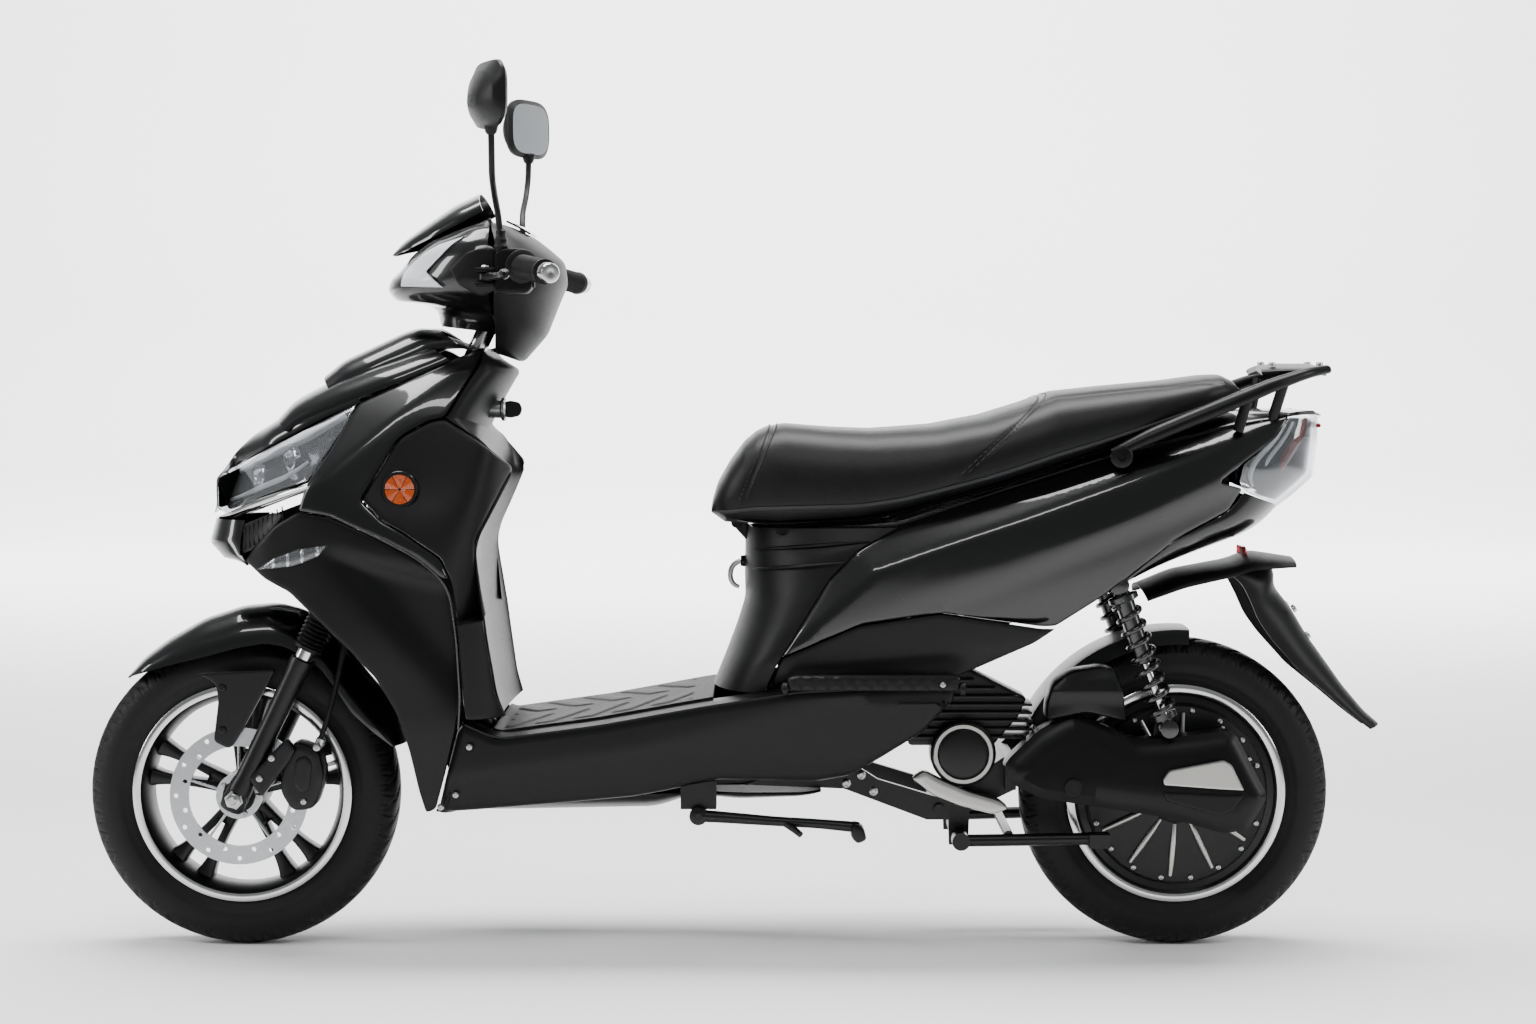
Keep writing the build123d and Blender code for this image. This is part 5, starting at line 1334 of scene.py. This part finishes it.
def handlebar_pieces():
    """Bar, bright bar ends, ribbed grips, levers, switch housings and their buttons."""
    line = [grip_spot(-1, 128)[0], grip_spot(-1, 60)[0], grip_spot(-1, -40)[0], Vector((-312, 0, 1010)),
            grip_spot(1, -40)[0], grip_spot(1, 60)[0], grip_spot(1, 128)[0]]
    bar = hose([tuple(p) for p in line], 11, 24)
    clamp_foot = (-709.5 + math.sin(RAKE) * 800, 0, 219 + math.cos(RAKE) * 800)
    clamp = capped(clamp_foot, UP_FORK, [(0, 17), (1, 19), (73, 19), (74, 17)], 36)
    piece("handlebar_tube", *merged(bar, clamp), frame_coat, "steering", "black_frame_paint", ["handlebar"])
    ends = []
    for side in (-1, 1):
        spot, ahead = grip_spot(side, 128)
        ends.append(capped(spot, ahead,
                           [(0, 12.5), (1, 14), (18, 14), (21, 12.5), (22, 9), (21, 3.2), (14, 3)], 48))
    piece("bar_end_weights", *merged(*ends), polished_alloy, "steering", "bright_steel")
    for name, side, body, node in (
        ("left_rubber_grip", -1, "steering", "grip_left"),
        ("throttle_rubber_grip", 1, "throttle", "throttle_grip"),
    ):
        spot, ahead = grip_spot(side, 0)
        profile = [(6, 20), (6.4, 23.5), (8, 24), (10.5, 23.6), (12, 21), (13, 17.2)]
        for k in range(24):
            profile += [(15 + 4.2 * k, 17.2), (16.2 + 4.2 * k, 16.2), (17.8 + 4.2 * k, 16.2),
                        (18.6 + 4.2 * k, 17.2)]
        profile += [(118, 17.4), (122, 18.2), (125, 17.6), (126, 14)]
        piece(name, *capped(spot, ahead, profile, 48), grip_rubber, body, "grip_rubber", [node])
    for side, word in ((-1, "left"), (1, "right")):
        route = [(-354, 176), (-350, 184), (-342, 202), (-333, 230), (-325, 270), (-316, 306), (-311, 328)]
        blade = hose([(x, y * side, 990) for x, y in route], [8, 8, 6.5, 6, 6, 6.5, 6], 16, flat=0.72)
        ball = capped((-311, 324 * side, 990), (0.1, side, 0), [(0, 6), (3, 7), (9, 7.5), (15, 6), (18, 3)],
                      24)
        pivot = capped((-352, 182 * side, 985), (0, 0, 1), [(0, 8), (0.8, 9), (9.2, 9), (10, 8)], 32)
        piece(f"{word}_lever_blade", *merged(blade, ball, pivot), frame_coat, f"brake_lever_{word}",
              "lever_alloy",
              [f"brake_lever_{word}"])
    housings = []
    for side in (-1, 1):
        box_side = [(-338, 966), (-338, 1022), (-328, 1031), (-296, 1031), (-284, 1020), (-284, 974),
                    (-292, 966)]
        half = skin(box_side, level(191.0), wall=20.0, edge=4.0, corner=6, step=6.0, gap=0.2)
        points = np.array(half[0]) * np.array([1, -side, 1])
        housings.append((points, half[1]))
        lug = skin([(-366, 976), (-366, 984), (-336, 984), (-336, 976)], level(191.0), wall=18.0,
                   edge=2.0, corner=3, step=5.0)
        for lift in (0, 20):
            raised = np.array(lug[0]) * np.array([1, -side, 1]) + np.array([0, 0, lift])
            housings.append((raised, lug[1]))
    bolts = [capped((-352, 182 * s, 1003.5), (0, 0, 1), [(0, 6), (1.5, 6), (3, 4.5)], 6) for s in (-1, 1)]
    piece("switch_boxes", *merged(*housings), satin_plastic, "steering", "satin_plastic",
          ["switch_housings"])
    piece("lever_pivot_bolts", *merged(*bolts), plated_steel, "steering", "bright_steel")
    horn = capped((-291, -181, 980), (1, 0, 0), [(0, 5.6), (8, 5.6), (9.6, 4.6), (10, 2)], 32)
    piece("horn_push", *horn, matt_plastic, "horn_button", "satin_plastic", ["horn_button"])
    toggle = hose([(-290, -180.5, 1001), (-279, -180.5, 1001)], [2.4, 3.0], 14)
    piece("signal_toggle", *toggle, matt_plastic, "turn_switch", "satin_plastic", ["turn_switch"])
    for name, y, z, tint in (("start_push", 181, 976, matt_plastic),
                             ("light_toggle", 181, 1008, matt_plastic)):
        piece(name, *capped((-288, y, z), (1, 0, 0), [(0, 5), (7, 5), (8, 3.5)], 24), tint, "steering",
              "satin_plastic")


def cover_reach(z):
    """How far forward the handlebar cover's nose reaches at a height."""
    table = [(915, -436), (944, -442), (957, -492), (973, -514), (989, -510), (1006, -492), (1024, -478),
             (1045, -452), (1063, -407), (1077, -366)]
    return np.interp(z, [p[0] for p in table], [p[1] for p in table])


def cover_side(x, z):
    """The handlebar cover's half width: an ellipse in plan, from the nose to the grips."""
    table = [(855, 58), (900, 66), (935, 106), (965, 156), (985, 168), (1030, 168), (1058, 146),
             (1080, 100)]
    wide = np.interp(z, [p[0] for p in table], [p[1] for p in table])
    ahead = np.clip((-350 - x) / (-350 - cover_reach(z)), 0, 0.995)
    return wide * np.sqrt(1 - ahead**2)


def handlebar_shells():
    """Front and rear handlebar covers, position lamps, wind deflector and display."""
    front_line = [(-436, 922), (-440, 944), (-460, 955), (-501, 958), (-514, 972), (-510, 989),
                  (-492, 1006), (-478, 1024), (-452, 1045), (-407, 1063), (-364, 1077)]
    front_rim = [(-350, 80, 912), (-350, 112, 938), (-350, 140, 956), (-350, 156, 966), (-350, 164, 976),
                 (-350, 168, 988), (-350, 169, 1002), (-350, 168, 1018), (-350, 160, 1040),
                 (-350, 142, 1060), (-352, 104, 1074)]
    shell = hood(front_line, front_rim, rows=70, across=30, flat=0.0)
    piece("handlebar_cowl", *shell, gloss_paint, "steering", "gloss_black", ["handlebar_front_cover"])
    rear_line = [(-364, 1076), (-328, 1068), (-294, 1051), (-270, 1032), (-252, 1016), (-248, 983),
                 (-258, 960), (-278, 909), (-314, 868), (-348, 880)]
    rear_rim = [(-351, 104, 1074), (-346, 142, 1060), (-340, 160, 1042), (-338, 168, 1024),
                (-337, 169, 1004), (-338, 168, 988), (-342, 158, 968), (-346, 124, 944),
                (-348, 84, 912), (-350, 66, 884)]
    back = hood(rear_line, rear_rim, rows=70, across=30, flat=0.05)
    piece("handlebar_rear_shell", *back, matt_plastic, "steering", "satin_plastic",
          ["handlebar_rear_cover"])
    window = hood([(-335, 1079), (-318, 1071), (-298, 1061)],
                  [(-333, 52, 1076), (-316, 56, 1068), (-298, 52, 1057)],
                  rows=14, across=20, flat=0.8, wall=3.0)
    piece("display_window", *window, display_glass, "steering", "clear_lens")
    chevron = [(-484, 978), (-480, 999), (-465, 1014), (-446, 1028), (-424, 1039), (-381, 1051),
               (-402, 1037), (-434, 1006), (-441, 999), (-414, 975)]
    lamp = skin(chevron, lambda x, z: cover_side(x, z) + 3.0, wall=3.0, edge=1.5, corner=3, step=5.0)
    piece("position_lamp_lenses", *mirrored(lamp), light_guide, "steering", "clear_lens",
          ["position_lamps"])
    screen = hood(
        [(-508, 1027), (-490, 1047), (-450, 1076), (-413, 1101), (-376, 1118)],
        [(-502, 14, 1026), (-478, 48, 1034), (-436, 76, 1052), (-398, 90, 1070), (-364, 94, 1088)],
        rows=34, across=18, flat=0.1, wall=2.2,
    )
    piece("wind_deflector", *screen, gloss_paint, "steering", "clear_lens", ["fly_screen"])
    cheek = [(-407, 1002), (-382, 1025), (-347, 1037), (-338, 1030), (-338, 972), (-361, 962), (-392, 979)]
    dark = skin(cheek, lambda x, z: cover_side(x, z) + 2.0, wall=3.0, edge=2.0, corner=5, step=6.0)
    piece("cowl_cheeks", *mirrored(dark), matt_plastic, "steering", "satin_plastic")


def mirror_pieces():
    """Two mirrors: rubber boot, bent stem, faceted shell and silvered glass."""
    for side, word in ((-1, "left"), (1, "right")):
        turn = Matrix.Rotation(math.radians(-24 * side), 4, "Z")
        middle = Vector((-330, 294 * side, 1236))
        rings = []
        for depth, wide, tall, lean in (
            (4, 59, 39, 0), (0, 64.5, 44.5, 0), (-1, 66, 46, 0), (-6, 65, 45, 0), (-16, 56, 35, 3),
            (-17, 55, 34, 3), (-28, 22, 11, 9), (-28.6, 18, 8, 9), (-29, 2, 1, 9),
        ):
            for k in range(96):
                angle = 2 * math.pi * k / 96
                power = 0.55 if depth > -10 else 0.9
                y = math.copysign(abs(math.cos(angle)) ** power * wide, math.cos(angle))
                z = math.copysign(abs(math.sin(angle)) ** power * tall, math.sin(angle))
                rings.append(tuple(middle + turn @ Vector((depth, y, z - lean))))
        shell = (rings, grid_faces(9, 96, closed=True))
        stem = hose([(-329, 181 * side, 1036), (-332, 184 * side, 1076), (-334, 214 * side, 1101),
                     (-333, 262 * side, 1126), (-331, 284 * side, 1158), (-331, 290 * side, 1196)], 4.6, 18)
        boot = capped((-329, 181 * side, 1031), (0, 0, 1),
                      [(0, 10), (2, 10.5), (7, 8), (12, 9.2), (17, 6.6),
                                                          (24, 7.4), (27, 5)], 36)
        neck = capped((-331, 290 * side, 1182), (0, 0, 1), [(0, 5.5), (3, 8), (14, 11), (16, 8)], 32)
        piece(f"{word}_mirror_shell", *merged(shell, stem, boot, neck), matt_plastic, f"mirror_{word}",
              "satin_plastic", [f"mirror_{word}"])
        glass = []
        for depth, share in ((0.5, 1.0), (3.2, 0.985), (3.4, 0.0001)):
            for k in range(96):
                angle = 2 * math.pi * k / 96
                y = math.copysign(abs(math.cos(angle)) ** 0.55 * 60.5 * share, math.cos(angle))
                z = math.copysign(abs(math.sin(angle)) ** 0.55 * 40.5 * share, math.sin(angle))
                glass.append(tuple(middle + turn @ Vector((depth, y, z))))
        piece(f"{word}_mirror_glass", glass, grid_faces(3, 96, closed=True), mirror_glass, f"mirror_{word}",
              "clear_lens")


# Small pieces
def small_pieces():
    """Lock, key, bag hook, stands and footrests."""
    barrel = capped((-400, -48, 800), (1, 0, 0),
                    [(0, 12), (56, 13), (58, 17), (62, 17.5), (64, 16), (64, 8.5),
                                                  (60, 8), (60, 2)], 48)
    piece("lock_barrel", *barrel, plated_steel, "chassis", "bright_steel", ["ignition_lock"])
    bow = skin([(-338, 789), (-338, 811), (-330, 813), (-316, 810), (-312, 800), (-316, 790), (-330, 787)],
               level(50.2), wall=4.4, edge=1.4, corner=6, step=3.0, gap=0.0)
    blade = hose([(-354, -48, 800), (-334, -48, 800)], 4.0, 16)
    piece("key_with_bow", *merged(bow, blade), frame_coat, "key", "bright_steel", ["ignition_key"])
    hook = hose([(8, 0, 573), (-2, 0, 574), (-8, 0, 566), (-8, 0, 544), (-7, 0, 534), (0, 0, 532),
                 (6, 0, 534)],
                [4, 4, 4, 4, 4, 3.6, 3], 16)
    hinge = capped((6, -13, 572), (0, 1, 0), [(0, 2.4), (26, 2.4)], 16)
    ears = hose([(8, 0, 573), (24, 0, 573)], [8, 9, 11], 16)
    piece("bag_hook_bracket", *ears, satin_plastic, "chassis", "satin_plastic")
    piece("folding_bag_hook", *merged(hook, hinge), plated_steel, "bag_hook", "bright_steel", ["bag_hook"])
    leg = hose([(-52, -142, 214), (-20, -142, 212), (60, -143, 206), (120, -145, 203), (180, -148, 198)],
               [9, 8, 7, 7, 8], 20)
    eye = capped((-52, -153, 214), (0, 1, 0), [(0, 5.5), (2.5, 6), (3, 10), (4, 13), (18, 13), (19, 11)],
                 36)
    foot = skin([(170, 207), (186, 202), (193, 182), (177, 175), (166, 188)], level(166.0),
                wall=30.0, edge=4.0, corner=8, step=5.0)
    peg = hose([(70, -143, 205), (88, -156, 196), (96, -164, 190)], [5, 5, 4.5], 14)
    piece("side_stand_leg", *merged(leg, eye, foot, peg), frame_coat, "side_stand", "black_frame_paint",
          ["side_stand"])
    for side, word in ((-1, "left"), (1, "right")):
        low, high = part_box(f"footrest_{word}")
        low, high = low / MM, high / MM
        outline = [(low.x + 6, low.z + 3), (low.x + 4, high.z - 5), (low.x + 14, high.z - 1),
                   (high.x - 8, high.z),
                   (high.x - 5, high.z - 6), (high.x - 7, low.z + 3)]
        board = skin(outline, lambda x, z: 192.0 + 1.2 * np.sin(x / 3.2) * (np.abs(z - 411) < 8), wall=15.0,
                     edge=4.0, corner=9, step=6.0, gap=0.3)
        points = np.array(board[0]) * np.array([1, -side, 1])
        axle = hose([(72, 184 * side, 404), (328, 184 * side, 404)], 3, 12)
        piece(f"{word}_footrest_board", *merged((points, board[1]), axle), matt_plastic, f"footrest_{word}",
              "satin_plastic", [f"footrest_{word}"])
        screw = around_bolt((high.x - 30, 193 * side, 411), (0, side, 0), 4.5)
        piece(f"{word}_footrest_screw", *screw, plated_steel, f"footrest_{word}", "bright_steel")


# CAD nodes that stay in view keep their shape and take a finish
KEPT = {
    "main_frame": frame_coat, "head_bearings": ground_steel, "battery_pack": battery_grey,
    "motor_controller": cast_alloy, "steering_stem": polished_alloy, "brake_disc": ground_steel,
    "swingarm": black_casting, "centre_stand": frame_coat,
}


def finish_kept_nodes():
    """Gives every CAD node a finish; the ones in KEPT stay in view."""
    for name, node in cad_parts.items():
        node.data.materials.clear()
        node.data.materials.append(KEPT.get(name, satin_plastic))


# Studio
def studio():
    """Pale floor and backdrop, broad soft boxes and the camera."""
    floor_mesh = bpy.data.meshes.new("studio_floor")
    made = bmesh.new()
    rows = [(-16.0, 0.0), (9.0, 0.0), (11.0, 0.2), (12.6, 1.1), (13.6, 2.8), (14.0, 5.0), (14.0, 12.0)]
    grid = [[made.verts.new((x, y, z)) for x in (-20.0, 20.0)] for y, z in rows]
    for a, b in zip(grid, grid[1:]):
        made.faces.new((a[0], a[1], b[1], b[0])).smooth = True
    made.to_mesh(floor_mesh)
    made.free()
    floor = bpy.data.objects.new("studio_floor", floor_mesh)
    bpy.context.scene.collection.objects.link(floor)
    floor.data.materials.append(finish_of("studio paper", "f4f4f4", "f2f2f2", 0.85, ("cloud", 3.0, 0.02)))
    for name, spot, aim, size, power in (
        ("top_box", (0.0, 0.5, 3.6), (0, 0.1, 0.5), (4.4, 1.5), 330),
        ("near_box", (-0.8, -3.4, 4.2), (-0.1, 0, 0.4), (3.4, 0.5), 75),
        ("front_box", (-4.0, -0.9, 1.9), (-0.4, 0, 0.7), (0.7, 2.2), 80),
        ("rear_box", (3.8, -1.2, 2.0), (0.4, 0, 0.6), (0.8, 2.0), 55),
        ("paper_box", (0.0, 5.0, 6.0), (0, 13.0, 1.0), (14.0, 2.0), 4300),
    ):
        data = bpy.data.lights.new(name, "AREA")
        data.shape = "RECTANGLE"
        data.size, data.size_y = size
        data.energy = power
        lamp = bpy.data.objects.new(name, data)
        bpy.context.scene.collection.objects.link(lamp)
        lamp.location = spot
        lamp.rotation_euler = (Vector(aim) - Vector(spot)).to_track_quat("-Z", "Y").to_euler()
    world = bpy.data.worlds.new("pale room")
    world.use_nodes = True
    world.node_tree.nodes["Background"].inputs["Color"].default_value = (0.9, 0.93, 0.96, 1)
    world.node_tree.nodes["Background"].inputs["Strength"].default_value = 0.28
    bpy.context.scene.world = world
    data = bpy.data.cameras.new("main_camera")
    data.sensor_width = 36.0
    data.lens = 63.0
    camera = bpy.data.objects.new("main_camera", data)
    bpy.context.scene.collection.objects.link(camera)
    camera.location = (0.0488, -4.0, 0.887)
    camera.rotation_euler = (math.radians(90 - 3.45), 0, 0)
    bpy.context.scene.camera = camera


finish_kept_nodes()
front_shells()
headlamp()
side_reflectors()
tail_shells()
floor_pieces()
front_mudguard()
rear_mudguard()
luggage_rail()
seat_pieces()
front_wheel_pieces()
rear_wheel_pieces()
fork_pieces()
drive_pieces()
shock_pieces()
handlebar_pieces()
handlebar_shells()
mirror_pieces()
small_pieces()
studio()
